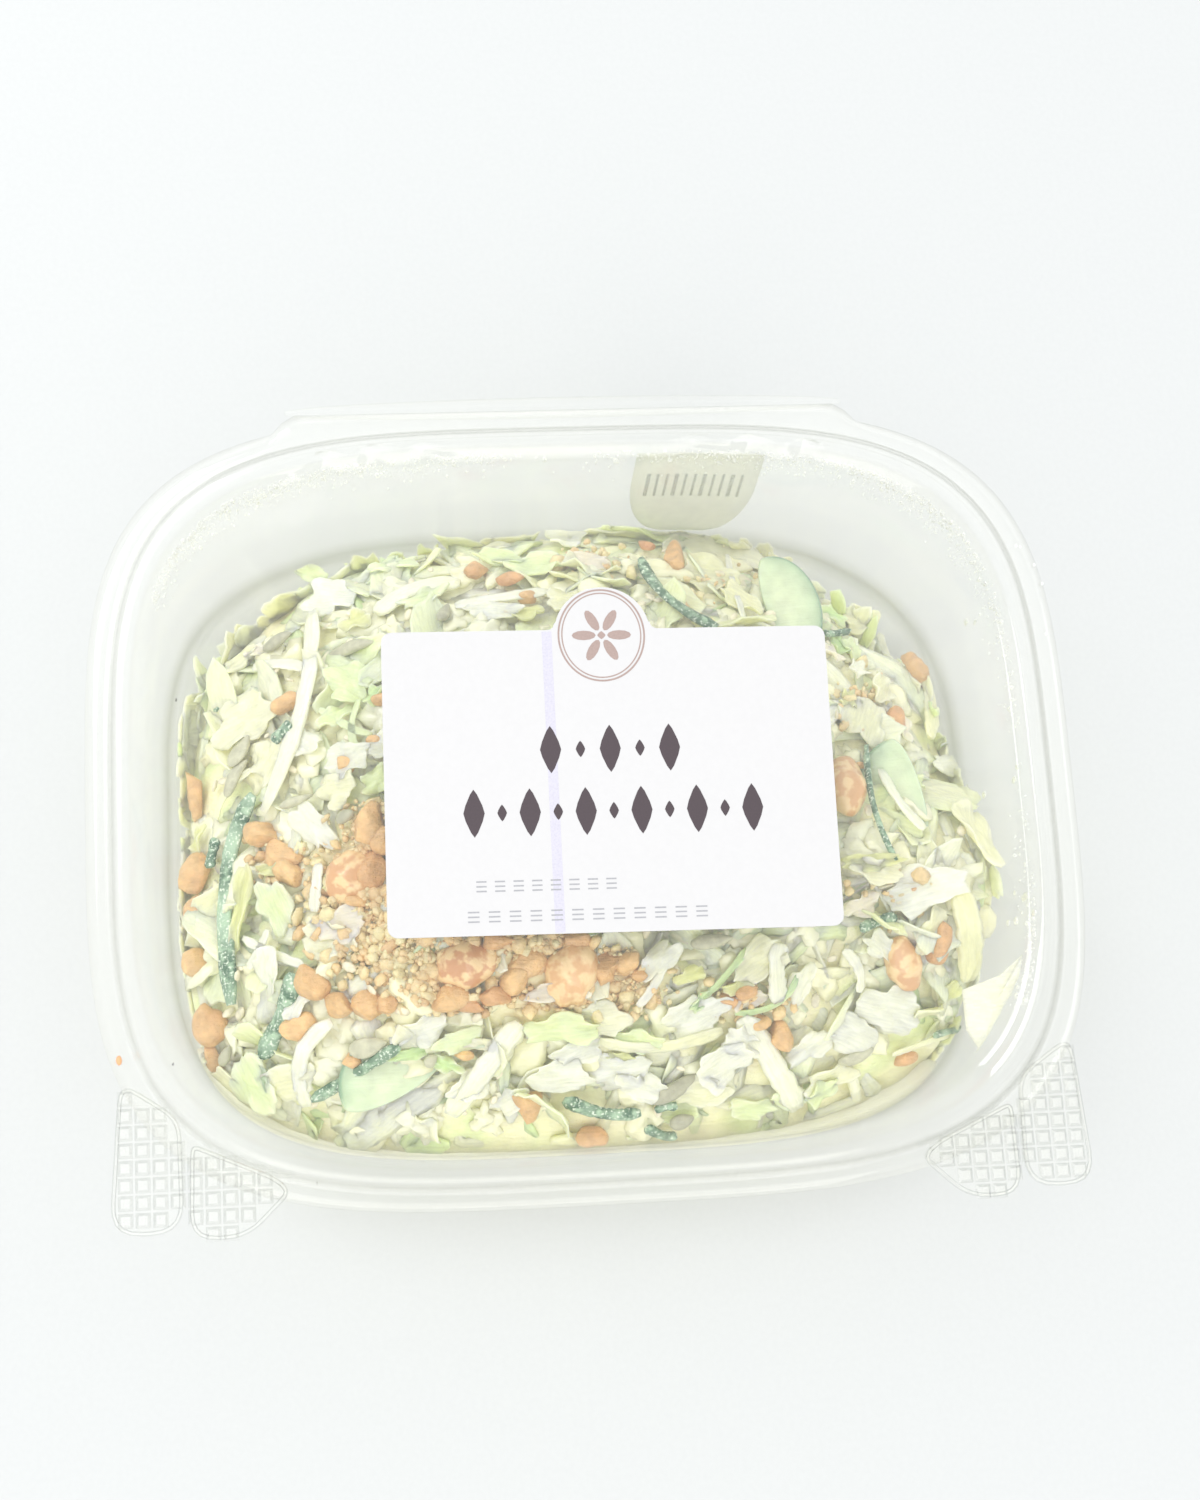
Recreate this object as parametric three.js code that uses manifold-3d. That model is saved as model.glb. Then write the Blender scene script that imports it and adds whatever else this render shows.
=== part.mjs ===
// Green coleslaw in a clear hinged salad box: a shallow tub with a lid that folds
// on a hinge roll along its back edge. Millimetres, +Z up, front towards -Y.
import * as THREE from 'three';
import { mergeVertices } from 'three/addons/utils/BufferGeometryUtils.js';
import Module from 'manifold-3d';

const wasm = await Module();
wasm.setup();
const { Manifold, Mesh: SolidMesh } = wasm;

// Driving dimensions
const SHEET = 0.5; // thickness of the moulded sheet
const GAP = 0.3; // air between pieces that touch
const RIM_HALF_WIDTH = 88.5; // outer foot of the rim bead, half across
const RIM_HALF_DEPTH = 72.5; // the same, half from front to back
const CORNER_POWER = 3.8; // how square the box is in plan
const FLANGE_SIDE = 4.9; // width of the flat flange at the sides
const FLANGE_END = 4.0; // and at the front and back
const FLANGE_HEIGHT = 52; // top of the tub's flange above the ground
const RIM_HEIGHT = 3.2; // tub's rim bead above its flange
const WALL_INSET = 3.8; // rim bead's foot to the top of the inner wall
const WALL_DRAFT = Math.tan(THREE.MathUtils.degToRad(5.5));
const HEEL_RADIUS = 8; // inside, between wall and floor
const PANEL_HEIGHT = 1.6; // top of the lid's sunk panel above the flange
const ROUND_STEPS = 56; // points round each ring of the box

const HINGE = { y: 77.7, radius: 2.2, tipRadius: 0.5, halfLength: 54.8 };
const TAB_FRONT = 79; // how far the pull tabs reach forward
const BASE_Y = (TAB_FRONT - HINGE.y - HINGE.radius) / 2; // sets the origin under the middle

// Materials
const clearPlastic = () => new THREE.MeshStandardMaterial({
  color: 0xe9f1f0, roughness: 0.08, metalness: 0, transparent: true, opacity: 0.3,
});
const matte = (color, roughness) => new THREE.MeshStandardMaterial({ color, roughness, metalness: 0 });

// Solids from geometry, and back
function closedGeometry(geometry) {
  geometry.deleteAttribute('normal');
  geometry.deleteAttribute('uv');
  return mergeVertices(geometry, 1e-4);
}

function toSolid(geometry) {
  const merged = closedGeometry(geometry);
  return new Manifold(new SolidMesh({
    numProp: 3,
    vertProperties: new Float32Array(merged.attributes.position.array),
    triVerts: new Uint32Array(merged.index.array),
  }));
}

function toGeometry(solid) {
  const mesh = solid.getMesh();
  const geometry = new THREE.BufferGeometry();
  geometry.setAttribute('position', new THREE.BufferAttribute(mesh.vertProperties, 3));
  geometry.setIndex(new THREE.BufferAttribute(mesh.triVerts, 1));
  return geometry;
}

// A ring of the box in plan: a rounded rectangle set in from the rim bead's foot.
function planPoint(angle, insetX, insetY) {
  const [c, s] = [Math.cos(angle), Math.sin(angle)];
  const x = (RIM_HALF_WIDTH - insetX) * Math.sign(c) * Math.abs(c) ** (2 / CORNER_POWER);
  const y = (RIM_HALF_DEPTH - insetY) * Math.sign(s) * Math.abs(s) ** (2 / CORNER_POWER);
  return [x, y];
}

const angleAt = (k) => (2 * Math.PI * k) / ROUND_STEPS;

function ring(insetX, z, insetY = insetX) {
  return Array.from({ length: ROUND_STEPS }, (_, k) => [...planPoint(angleAt(k), insetX, insetY), z]);
}

// Closed skin over a stack of rings, from the centre of the underside, out, and back over the top.
function loft(bottomZ, rings, topZ) {
  const n = ROUND_STEPS;
  const positions = [[0, 0, bottomZ], ...rings.flat(), [0, 0, topZ]].flat();
  const top = rings.length * n + 1;
  const at = (i, k) => 1 + i * n + (k % n);
  const index = [];
  for (let k = 0; k < n; k += 1) {
    index.push(0, at(0, k + 1), at(0, k));
    index.push(top, at(rings.length - 1, k), at(rings.length - 1, k + 1));
    for (let i = 0; i + 1 < rings.length; i += 1) {
      index.push(at(i, k), at(i + 1, k + 1), at(i + 1, k));
      index.push(at(i, k), at(i, k + 1), at(i + 1, k + 1));
    }
  }
  const geometry = new THREE.BufferGeometry();
  geometry.setAttribute('position', new THREE.Float32BufferAttribute(positions, 3));
  geometry.setIndex(index);
  return geometry;
}

// Inset of the tub's inner wall at a height, and the rounded heel below it.
const wallInset = (z) => WALL_INSET + (FLANGE_HEIGHT + RIM_HEIGHT - 0.8 - z) * WALL_DRAFT;
const HEEL_TOP = SHEET + HEEL_RADIUS;

function heelRings(radius) {
  const centre = wallInset(HEEL_TOP) + HEEL_RADIUS;
  return [0, 30, 60, 90].map((degrees) => {
    const a = THREE.MathUtils.degToRad(degrees);
    return ring(centre - radius * Math.sin(a), HEEL_TOP - radius * Math.cos(a));
  });
}

// A closed outline with rounded corners, each corner given as [x, y, radius].
function roundedShape(corners) {
  const shape = new THREE.Shape();
  corners.forEach(([x, y, radius], i) => {
    const corner = new THREE.Vector2(x, y);
    const before = new THREE.Vector2(...corners.at(i - 1));
    const after = new THREE.Vector2(...corners[(i + 1) % corners.length]);
    const enter = corner.clone().add(before.sub(corner).setLength(radius));
    const leave = corner.clone().add(after.sub(corner).setLength(radius));
    if (i === 0) shape.moveTo(enter.x, enter.y);
    else shape.lineTo(enter.x, enter.y);
    shape.quadraticCurveTo(corner.x, corner.y, leave.x, leave.y);
  });
  shape.closePath();
  return shape;
}

function plate(shape, bottom, thickness, curveSegments = 4) {
  const geometry = new THREE.ExtrudeGeometry(shape, { depth: thickness, bevelEnabled: false, curveSegments });
  return geometry.translate(0, 0, bottom);
}

// A plate that widens the flange, kept outside the rim bead.
function flangePlate(shape, bottom) {
  const [low, high] = [bottom - 1, bottom + SHEET + 1];
  const withinBead = loft(low, [ring(-0.6, low), ring(-0.6, high)], high);
  return toSolid(plate(shape, bottom, SHEET)).subtract(toSolid(withinBead));
}

const mirrored = (corners, side) => roundedShape(
  side > 0 ? corners : corners.map(([x, y, r]) => [-x, y, r]).reverse(),
);

// Pull tabs at the front corners: the tub's point sideways, the lid's forwards.
const TUB_TAB = [[77, -60, 1], [90, -49, 2], [90.2, -77.6, 5.5], [76.6, -77.6, 5.5]];
const LID_TAB = [[75.8, -61.5, 1.2], [76, -TAB_FRONT, 4.5], [65, -TAB_FRONT, 4], [57.4, -70.4, 2], [62, -66, 2]];

// The web behind the rim bead that carries the hinge roll, with its hollow corners.
function hingeWeb(backEdge) {
  const halfWidth = HINGE.halfLength - 0.5;
  const shape = new THREE.Shape();
  shape.moveTo(-66, 66);
  shape.lineTo(66, 66);
  shape.quadraticCurveTo(57, 73.5, halfWidth, backEdge);
  shape.lineTo(-halfWidth, backEdge);
  shape.quadraticCurveTo(-57, 73.5, -66, 66);
  return shape;
}

// The spindle-shaped roll of folded sheet, grown where a mating piece has to clear it.
function hingeRoll(clearance = 0) {
  const steps = 10;
  const length = HINGE.halfLength + clearance;
  const outline = [new THREE.Vector2(0, -length)];
  for (let i = 0; i <= steps; i += 1) {
    const t = (2 * i) / steps - 1;
    const swell = (HINGE.radius - HINGE.tipRadius) * Math.sqrt(1 - t * t);
    outline.push(new THREE.Vector2(HINGE.tipRadius + swell + clearance, length * t));
  }
  outline.push(new THREE.Vector2(0, length));
  const geometry = new THREE.LatheGeometry(outline, 12);
  return geometry.rotateZ(-Math.PI / 2).translate(0, HINGE.y, FLANGE_HEIGHT + GAP / 2);
}

function makeTub() {
  const F = FLANGE_HEIGHT;
  const rings = [
    ...heelRings(HEEL_RADIUS + SHEET),
    ring(wallInset(F + 2.2) - SHEET, F + 2.2),
    ring(2.8, F + RIM_HEIGHT - SHEET),
    ring(1.6, F + RIM_HEIGHT - SHEET),
    ring(1.2, F + 2.4),
    ring(0.45, F - SHEET),
    ring(-FLANGE_SIDE, F - SHEET, -FLANGE_END),
    ring(-FLANGE_SIDE, F, -FLANGE_END),
    ring(-0.1, F),
    ring(0.7, F + 2.6),
    ring(1.4, F + RIM_HEIGHT),
    ring(3.0, F + RIM_HEIGHT),
    ring(WALL_INSET, F + RIM_HEIGHT - 0.8),
    ...heelRings(HEEL_RADIUS).reverse(),
  ];
  let solid = toSolid(loft(0, rings, SHEET));
  for (const side of [-1, 1]) {
    solid = solid.add(flangePlate(mirrored(TUB_TAB, side), F - SHEET));
  }
  solid = solid.add(flangePlate(hingeWeb(HINGE.y - 0.6), F - SHEET));
  return toGeometry(solid.add(toSolid(hingeRoll())));
}

function makeLid() {
  const F = FLANGE_HEIGHT;
  const bottom = F + GAP;
  const rings = [
    ring(5.9, F + PANEL_HEIGHT - SHEET),
    ring(3.2, F + 3.55),
    ring(1.2, F + 3.55),
    ring(0.3, F + 2.75),
    ring(-0.45, bottom),
    ring(-FLANGE_SIDE, bottom, -FLANGE_END),
    ring(-FLANGE_SIDE, bottom + SHEET, -FLANGE_END),
    ring(-0.85, bottom + SHEET),
    ring(-0.2, F + 2.95),
    ring(0.95, F + 4.05),
    ring(3.4, F + 4.05),
    ring(6.1, F + PANEL_HEIGHT),
  ];
  let solid = toSolid(loft(F + PANEL_HEIGHT - SHEET, rings, F + PANEL_HEIGHT));
  for (const side of [-1, 1]) {
    solid = solid.add(flangePlate(mirrored(LID_TAB, side), bottom));
  }
  solid = solid.add(flangePlate(hingeWeb(HINGE.y - 0.8), bottom));
  return toGeometry(solid.subtract(toSolid(hingeRoll(GAP))));
}

// Paper label on the lid's panel, with a round ear on its back edge.
const LABEL = {
  x: 4.3, y: 2.3, width: 85.2, depth: 58.6, corner: 2, turn: -0.87,
  earX: -0.4, earRadius: 9.2, earRise: 8.4, thickness: 0.25,
};

function labelShape() {
  const { width, depth, corner, earX, earRadius, earRise } = LABEL;
  const [right, back] = [width / 2, depth / 2];
  const earCentre = back + earRise - earRadius;
  const half = earRadius + 1.3;
  const shape = new THREE.Shape();
  shape.moveTo(-right + corner, -back);
  shape.lineTo(right - corner, -back);
  shape.quadraticCurveTo(right, -back, right, -back + corner);
  shape.lineTo(right, back - corner);
  shape.quadraticCurveTo(right, back, right - corner, back);
  shape.lineTo(earX + half, back);
  shape.quadraticCurveTo(earX + earRadius - 0.4, back, earX + earRadius - 0.6, back + 1.4);
  shape.absarc(earX, earCentre, earRadius, 0.25, Math.PI - 0.25, false);
  shape.quadraticCurveTo(earX - earRadius + 0.4, back, earX - half, back);
  shape.lineTo(-right + corner, back);
  shape.quadraticCurveTo(-right, back, -right, back - corner);
  shape.lineTo(-right, -back + corner);
  shape.quadraticCurveTo(-right, -back, -right + corner, -back);
  return shape;
}

function makeLabel() {
  const paper = plate(labelShape(), 0, LABEL.thickness, 5);
  paper.rotateZ(THREE.MathUtils.degToRad(LABEL.turn));
  paper.translate(LABEL.x, LABEL.y, FLANGE_HEIGHT + PANEL_HEIGHT + 0.05);
  return toGeometry(toSolid(paper));
}

// Pale sticker on the outside of the tub's back wall, bent to the wall and rounded below.
const STICKER = {
  middle: 26.75, halfWidth: 12.75, top: 49, bottom: 13, thickness: 0.2, columns: 5, rows: 6,
  roundHeight: 22, footShare: 0.35,
};

function stickerHalfWidth(z) {
  const { halfWidth, bottom, roundHeight, footShare } = STICKER;
  const drop = 1 - Math.min(1, (z - bottom) / roundHeight);
  return halfWidth * (footShare + (1 - footShare) * Math.sqrt(1 - drop * drop));
}

function backWallY(x, z) {
  const inset = wallInset(z) - SHEET;
  const across = Math.abs(x / (RIM_HALF_WIDTH - inset)) ** CORNER_POWER;
  return (RIM_HALF_DEPTH - inset) * (1 - across) ** (1 / CORNER_POWER);
}

function makeSticker() {
  const { middle, top, bottom, thickness, columns, rows } = STICKER;
  const box = new THREE.BoxGeometry(1, 1, 1, columns, 1, rows);
  const position = box.attributes.position;
  for (let i = 0; i < position.count; i += 1) {
    const z = bottom + (top - bottom) * (position.getZ(i) + 0.5);
    const x = middle + 2 * stickerHalfWidth(z) * position.getX(i);
    const y = backWallY(x, z) + 0.15 + thickness * (position.getY(i) + 0.5);
    position.setXYZ(i, x, y, z);
  }
  return toGeometry(toSolid(box));
}

// The salad: an uneven mound, low on the left and in the back corners, high on the right wall.
const HEAP = { crown: 43, power: 2.8, foot: 4.5, clearance: 0.6, rings: 11 };
const EDGE_SWELLS = [
  { rise: 9, bearing: 88, spread: 34 },
  { rise: 28, bearing: -14, spread: 20 },
  { rise: 12, bearing: -92, spread: 34 },
  { rise: 5, bearing: -140, spread: 24 },
];
const BARE_CORNERS = [
  { cut: 0.07, bearing: 135, spread: 20 },
  { cut: 0.1, bearing: 42, spread: 16 },
];

// Bearing of a place in plan, as if the box were round, and a bell curve around one.
const bearingOf = (x, y) => Math.atan2(y / RIM_HALF_DEPTH, x / RIM_HALF_WIDTH);

function swell(bearing, { bearing: centre, spread }) {
  const turn = bearing - THREE.MathUtils.degToRad(centre);
  const nearest = THREE.MathUtils.euclideanModulo(turn + Math.PI, 2 * Math.PI) - Math.PI;
  return Math.exp(-((nearest / THREE.MathUtils.degToRad(spread)) ** 2));
}

// Where the mound meets the wall or the heel, and how far it stays back from the corners.
const heapEdge = (bearing) => EDGE_SWELLS.reduce((z, s) => z + s.rise * swell(bearing, s), HEAP.foot);
const heapPull = (bearing) => BARE_CORNERS.reduce((pull, s) => pull - s.cut * swell(bearing, s), 1);

function heapInset(z) {
  if (z >= HEEL_TOP) return wallInset(z) + HEAP.clearance;
  const radius = HEEL_RADIUS - HEAP.clearance;
  return wallInset(HEEL_TOP) + HEEL_RADIUS - Math.sqrt(radius ** 2 - (HEEL_TOP - z) ** 2);
}

function heapBumps(x, y) {
  const broad = Math.sin(x / 9 + 0.4) * Math.cos(y / 8 - 0.6);
  const fine = Math.sin(x / 4.1 + y / 6.3) * Math.cos(y / 3.7 - x / 7.9 + 1.1);
  return 1.1 * broad + 0.8 * fine;
}

// Height of the heap at a share of the way from its middle (0) to the wall (1).
function heapHeight(share, bearing, x, y) {
  const edge = heapEdge(bearing);
  const rise = 1 - share ** HEAP.power;
  return edge + (HEAP.crown - edge) * rise + heapBumps(x, y) * Math.min(1, 4 * (1 - share));
}

// A ring of the mound's side, from its flat underside (0) up to its edge (1).
const HEAP_BASE = HEEL_TOP - HEEL_RADIUS + HEAP.clearance;

function sideRing(share) {
  return Array.from({ length: ROUND_STEPS }, (_, k) => {
    const bearing = bearingOf(...planPoint(angleAt(k), 0, 0));
    const z = HEAP_BASE + (heapEdge(bearing) - HEAP_BASE) * share;
    const [x, y] = planPoint(angleAt(k), heapInset(z), heapInset(z));
    return [x * heapPull(bearing), y * heapPull(bearing), z];
  });
}

function topRing(share) {
  return sideRing(1).map(([edgeX, edgeY]) => {
    const [x, y] = [edgeX * share, edgeY * share];
    return [x, y, heapHeight(share, bearingOf(x, y), x, y)];
  });
}

function makeHeap() {
  const shares = Array.from({ length: HEAP.rings }, (_, i) => 1 - (i / HEAP.rings) ** 1.35);
  const rings = [...[0, 0.15, 0.45].map(sideRing), ...shares.map(topRing)];
  return toSolid(loft(HEAP_BASE, rings, heapHeight(0, 0, 0, 0)));
}

// A point on the heap's surface under a place in plan.
function surfacePoint(x, y) {
  const bearing = bearingOf(x, y);
  const inset = heapInset(heapEdge(bearing));
  const across = Math.abs(x / (RIM_HALF_WIDTH - inset)) ** CORNER_POWER;
  const along = Math.abs(y / (RIM_HALF_DEPTH - inset)) ** CORNER_POWER;
  const share = (across + along) ** (1 / CORNER_POWER) / heapPull(bearing);
  return new THREE.Vector3(x, y, heapHeight(share, bearing, x, y));
}

// Toppings as large as berries: whole nuts, and cucumber slices cut in half.
const NUTS = [
  { x: -24.2, y: -29.8, length: 14.5, width: 11, turn: 10 },
  { x: -4.1, y: -32.5, length: 13, width: 10, turn: 60 },
  { x: -45.3, y: -11.4, length: 13, width: 10, turn: -50 },
  { x: 52.3, y: 2.5, length: 14, width: 10.5, turn: 80 },
  { x: 62, y: -32.2, length: 12.5, width: 8.5, turn: -65 },
];
const SLICES = [
  { x: -38, y: -49.5, radius: 11, turn: 28, tilt: 8, lift: 0.6 },
  { x: 43, y: 43, radius: 11.5, turn: -75, tilt: 12, lift: 0.8 },
  { x: 67, y: -1, radius: 13, turn: 98, tilt: -16, lift: 0.6 },
];
const SLICE_THICKNESS = 3.2;

function nutGeometry({ x, y, length, width, turn }, clearance) {
  const nut = new THREE.SphereGeometry(1, 12, 8);
  const half = [length / 2 + clearance, width / 2 + clearance, width * 0.38 + clearance];
  nut.scale(...half).rotateZ(THREE.MathUtils.degToRad(turn));
  const place = surfacePoint(x, y);
  return nut.translate(place.x, place.y, place.z);
}

function sliceGeometry({ x, y, radius, turn, tilt, lift }, clearance) {
  const shape = new THREE.Shape();
  shape.moveTo(-radius - clearance, -clearance - radius * 0.12);
  shape.lineTo(radius + clearance, -clearance - radius * 0.12);
  shape.absarc(0, 0, radius + clearance, 0, Math.PI, false);
  const thickness = SLICE_THICKNESS + 2 * clearance;
  const slice = plate(shape, -thickness / 2, thickness, 14);
  slice.rotateX(THREE.MathUtils.degToRad(tilt)).rotateZ(THREE.MathUtils.degToRad(turn));
  const place = surfacePoint(x, y);
  return slice.translate(place.x, place.y, place.z + lift);
}

// Assembly
const model = new THREE.Group();
model.name = 'coleslaw_box';
model.position.y = BASE_Y;

function addPiece(name, geometry, material) {
  const mesh = new THREE.Mesh(geometry, material);
  mesh.name = name;
  model.add(mesh);
}

const toppings = [
  ...NUTS.map((nut, i) => ({ name: `nut_${i + 1}`, make: (c) => toSolid(nutGeometry(nut, c)), colour: 0xc98a4a })),
  ...SLICES.map((s, i) => ({ name: `cucumber_${i + 1}`, make: (c) => toSolid(sliceGeometry(s, c)), colour: 0xb9d79a })),
];

let heap = makeHeap();
toppings.forEach(({ name, make, colour }, i) => {
  const solid = toppings.slice(0, i).reduce((rest, other) => rest.subtract(other.make(GAP)), make(0));
  heap = heap.subtract(make(GAP));
  addPiece(name, toGeometry(solid), matte(colour, 0.5));
});

addPiece('tub', makeTub(), clearPlastic());
addPiece('lid', makeLid(), clearPlastic());
addPiece('label', makeLabel(), matte(0xf6f3f2, 0.6));
addPiece('back_sticker', makeSticker(), matte(0xf2f2e8, 0.6));
addPiece('coleslaw', toGeometry(heap), matte(0xe4e8c4, 0.55));

export default model;
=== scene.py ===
import math

import bpy
import numpy as np
from mathutils import Matrix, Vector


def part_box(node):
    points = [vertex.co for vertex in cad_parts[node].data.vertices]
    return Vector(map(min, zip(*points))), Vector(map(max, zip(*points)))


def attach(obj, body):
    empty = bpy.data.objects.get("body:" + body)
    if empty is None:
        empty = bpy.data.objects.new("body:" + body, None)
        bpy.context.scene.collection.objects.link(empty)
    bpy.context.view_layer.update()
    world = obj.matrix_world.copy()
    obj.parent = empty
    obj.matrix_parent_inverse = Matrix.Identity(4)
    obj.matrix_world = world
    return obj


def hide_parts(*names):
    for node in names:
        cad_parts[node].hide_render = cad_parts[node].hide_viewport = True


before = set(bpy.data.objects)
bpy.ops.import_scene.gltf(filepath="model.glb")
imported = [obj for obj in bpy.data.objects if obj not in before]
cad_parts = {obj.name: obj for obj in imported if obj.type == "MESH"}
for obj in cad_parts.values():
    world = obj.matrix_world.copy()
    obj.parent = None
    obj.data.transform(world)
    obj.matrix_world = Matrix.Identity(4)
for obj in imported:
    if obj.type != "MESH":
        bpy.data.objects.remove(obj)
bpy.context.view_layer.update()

# Sizes are in millimetres and become metres where a mesh is made.
MM = 0.001

# Plan of the box: a rounded rectangle at the foot of the rim bead, and how far the flange stands out from it
RIM_HALF_WIDTH = 88.5
RIM_HALF_DEPTH = 72.5
CORNER_POWER = 3.8
CENTRE_Y = -0.45
FLANGE_SIDE = 4.9
FLANGE_END = 4.0

# Heights of the flange, the rim bead and the lid's panel, and the thickness of the sheet
FLANGE = 52.0
RIM_HEIGHT = 3.2
PANEL = FLANGE + 1.6
SHEET = 0.4

# The drafted wall, the rounded heel at its foot, and the fold behind the flange
WALL_INSET = 3.8
WALL_DRAFT = math.tan(math.radians(5.5))
HEEL_RADIUS = 8.0
HEEL_TOP = 8.5
HINGE_Y = 77.7
HINGE_Z = FLANGE + 0.15

rng = np.random.default_rng(7)


# The photograph's size, and its camera as an aim and a distance
PHOTO_WIDTH = 1200
PHOTO_HEIGHT = 1500
FOCAL_PIXELS = 2400
CAMERA = {"turn": -22.63, "elevation": 75.18, "roll": 19.85, "distance": 452.9, "slide": (-2.22, -8.15)}


def camera_frame():
    """The camera's right, up and back directions and its place, in millimetres."""
    e, a, r = (math.radians(CAMERA[k]) for k in ("elevation", "turn", "roll"))
    back = np.array([math.sin(a) * math.cos(e), -math.cos(a) * math.cos(e), math.sin(e)])
    level = np.array([math.cos(a), math.sin(a), 0.0])
    rise = np.cross(back, level)
    right = level * math.cos(r) + rise * math.sin(r)
    up = rise * math.cos(r) - level * math.sin(r)
    aim = np.array([0.0, CENTRE_Y, FLANGE])
    place = aim + back * CAMERA["distance"] - right * CAMERA["slide"][0] - up * CAMERA["slide"][1]
    return right, up, back, place


CAM_RIGHT, CAM_UP, CAM_BACK, CAM_PLACE = camera_frame()


def pixel_ray(px, py):
    """Direction of view through a pixel of the photograph."""
    across = (np.asarray(px, dtype=float) - PHOTO_WIDTH / 2) / FOCAL_PIXELS
    rise = (PHOTO_HEIGHT / 2 - np.asarray(py, dtype=float)) / FOCAL_PIXELS
    ray = CAM_RIGHT * across[..., None] + CAM_UP * rise[..., None] - CAM_BACK
    return ray / np.linalg.norm(ray, axis=-1, keepdims=True)


def picture_heading(degrees, up):
    """A direction on the heap that runs at an angle across the photograph."""
    heading = CAM_RIGHT * math.cos(math.radians(degrees)) + CAM_UP * math.sin(math.radians(degrees))
    return unit(heading - up * np.dot(heading, up))


# Meshes
class Parts:
    """Gathers many small shapes into one mesh, each point with a tint and a place along its grain."""

    def __init__(self):
        self.verts = []
        self.faces = []
        self.tints = []
        self.grains = []
        self.count = 0

    def add(self, verts, faces, tint=(1.0, 1.0, 1.0), grain=None):
        """Adds one shape, in millimetres, with one tint or a tint for each point."""
        verts = np.asarray(verts, dtype=float)
        start = self.count
        self.verts.append(verts)
        self.faces.extend([tuple([start + i for i in face]) for face in faces])
        self.tints.append(np.broadcast_to(np.asarray(tint, dtype=float), (len(verts), 3)))
        self.grains.append(verts if grain is None else grain)
        self.count += len(verts)

    def build(self, name, material, body, slot, replaces=(), smooth=True):
        """Makes the piece in metres, riding on a body, and hides the nodes that it replaces. The slot is not
        used.
        """
        mesh = bpy.data.meshes.new(name)
        mesh.from_pydata((np.concatenate(self.verts) * MM).tolist(), [], self.faces)
        tint = np.ones((self.count, 4))
        tint[:, :3] = np.concatenate(self.tints)
        layer = mesh.color_attributes.new("tint", "FLOAT_COLOR", "POINT")
        layer.data.foreach_set("color", tint.ravel())
        grain = mesh.attributes.new("grain", "FLOAT_VECTOR", "POINT")
        grain.data.foreach_set("vector", np.concatenate(self.grains).ravel())
        mesh.polygons.foreach_set("use_smooth", [smooth] * len(mesh.polygons))
        mesh.materials.append(material)
        piece = bpy.data.objects.new(name, mesh)
        bpy.context.scene.collection.objects.link(piece)
        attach(piece, body)
        if replaces:
            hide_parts(*replaces)
        return piece


def ring_faces(rings, n, looped=False):
    """Faces over a stack of rings of n points, capped at both ends, or looped from the last to the first."""
    faces = []
    for i in range(rings if looped else rings - 1):
        j = (i + 1) % rings
        for k in range(n):
            m = (k + 1) % n
            faces.append((i * n + k, i * n + m, j * n + m, j * n + k))
    if not looped:
        faces.append(tuple(range(n - 1, -1, -1)))
        faces.append(tuple((rings - 1) * n + k for k in range(n)))
    return faces


def curve_round(before, corner, after, steps):
    """Points on a short curve that rounds a corner between two places."""
    shares = np.linspace(0, 1, steps)
    return [(1 - t) ** 2 * before + 2 * t * (1 - t) * corner + t ** 2 * after for t in shares]


def unit(v):
    """Vectors made one long."""
    return v / np.maximum(np.linalg.norm(v, axis=-1, keepdims=True), 1e-9)


# Node materials
class Nodes:
    """A short way to write a node tree."""

    def __init__(self, name):
        self.material = bpy.data.materials.new(name)
        self.material.use_nodes = True
        self.tree = self.material.node_tree
        self.tree.nodes.clear()
        self.out = self.tree.nodes.new("ShaderNodeOutputMaterial")

    def node(self, kind, inputs=None, **settings):
        """A shader node with its settings, each input linked from a socket or given a value."""
        node = self.tree.nodes.new("ShaderNode" + kind)
        for key, value in settings.items():
            setattr(node, key, value)
        for key, value in (inputs or {}).items():
            if isinstance(value, bpy.types.NodeSocket):
                self.tree.links.new(value, node.inputs[key])
            else:
                node.inputs[key].default_value = value
        return node

    def ramp(self, factor, *stops):
        """A colour ramp over a factor, from stops of (place, colour)."""
        node = self.tree.nodes.new("ShaderNodeValToRGB")
        self.tree.links.new(factor, node.inputs[0])
        points = node.color_ramp.elements
        while len(points) < len(stops):
            points.new(0.5)
        for point, (place, colour) in zip(points, stops):
            point.position = place
            point.color = (*colour, 1.0) if len(colour) == 3 else colour
        return node.outputs["Color"]

    def mix(self, kind, factor, a, b):
        """A blend of two colours by a factor."""
        node = self.node("Mix", data_type="RGBA", blend_type=kind)
        for index, value in ((0, factor), (6, a), (7, b)):
            if isinstance(value, bpy.types.NodeSocket):
                self.tree.links.new(value, node.inputs[index])
            else:
                node.inputs[index].default_value = value if index == 0 else (*value, 1.0)
        return node.outputs[2]

    def position(self):
        """Object coordinates in millimetres."""
        coords = self.node("TexCoord").outputs["Object"]
        return self.node("VectorMath", {0: coords, 1: (1 / MM,) * 3}, operation="MULTIPLY").outputs[0]

    def noise(self, scale, detail=2.0, vector=None):
        """Noise over the object, or over another vector, its scale per millimetre."""
        vector = vector or self.position()
        return self.node("TexNoise", {"Vector": vector, "Scale": scale, "Detail": detail}).outputs["Fac"]

    def bump(self, height, strength, distance):
        """A fine relief from a height, its distance in millimetres."""
        inputs = {"Height": height, "Strength": strength, "Distance": distance * MM}
        return self.node("Bump", inputs).outputs["Normal"]

    def finish(self, shader):
        """Sets the surface and hands over the material."""
        self.tree.links.new(shader, self.out.inputs["Surface"])
        return self.material


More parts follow.
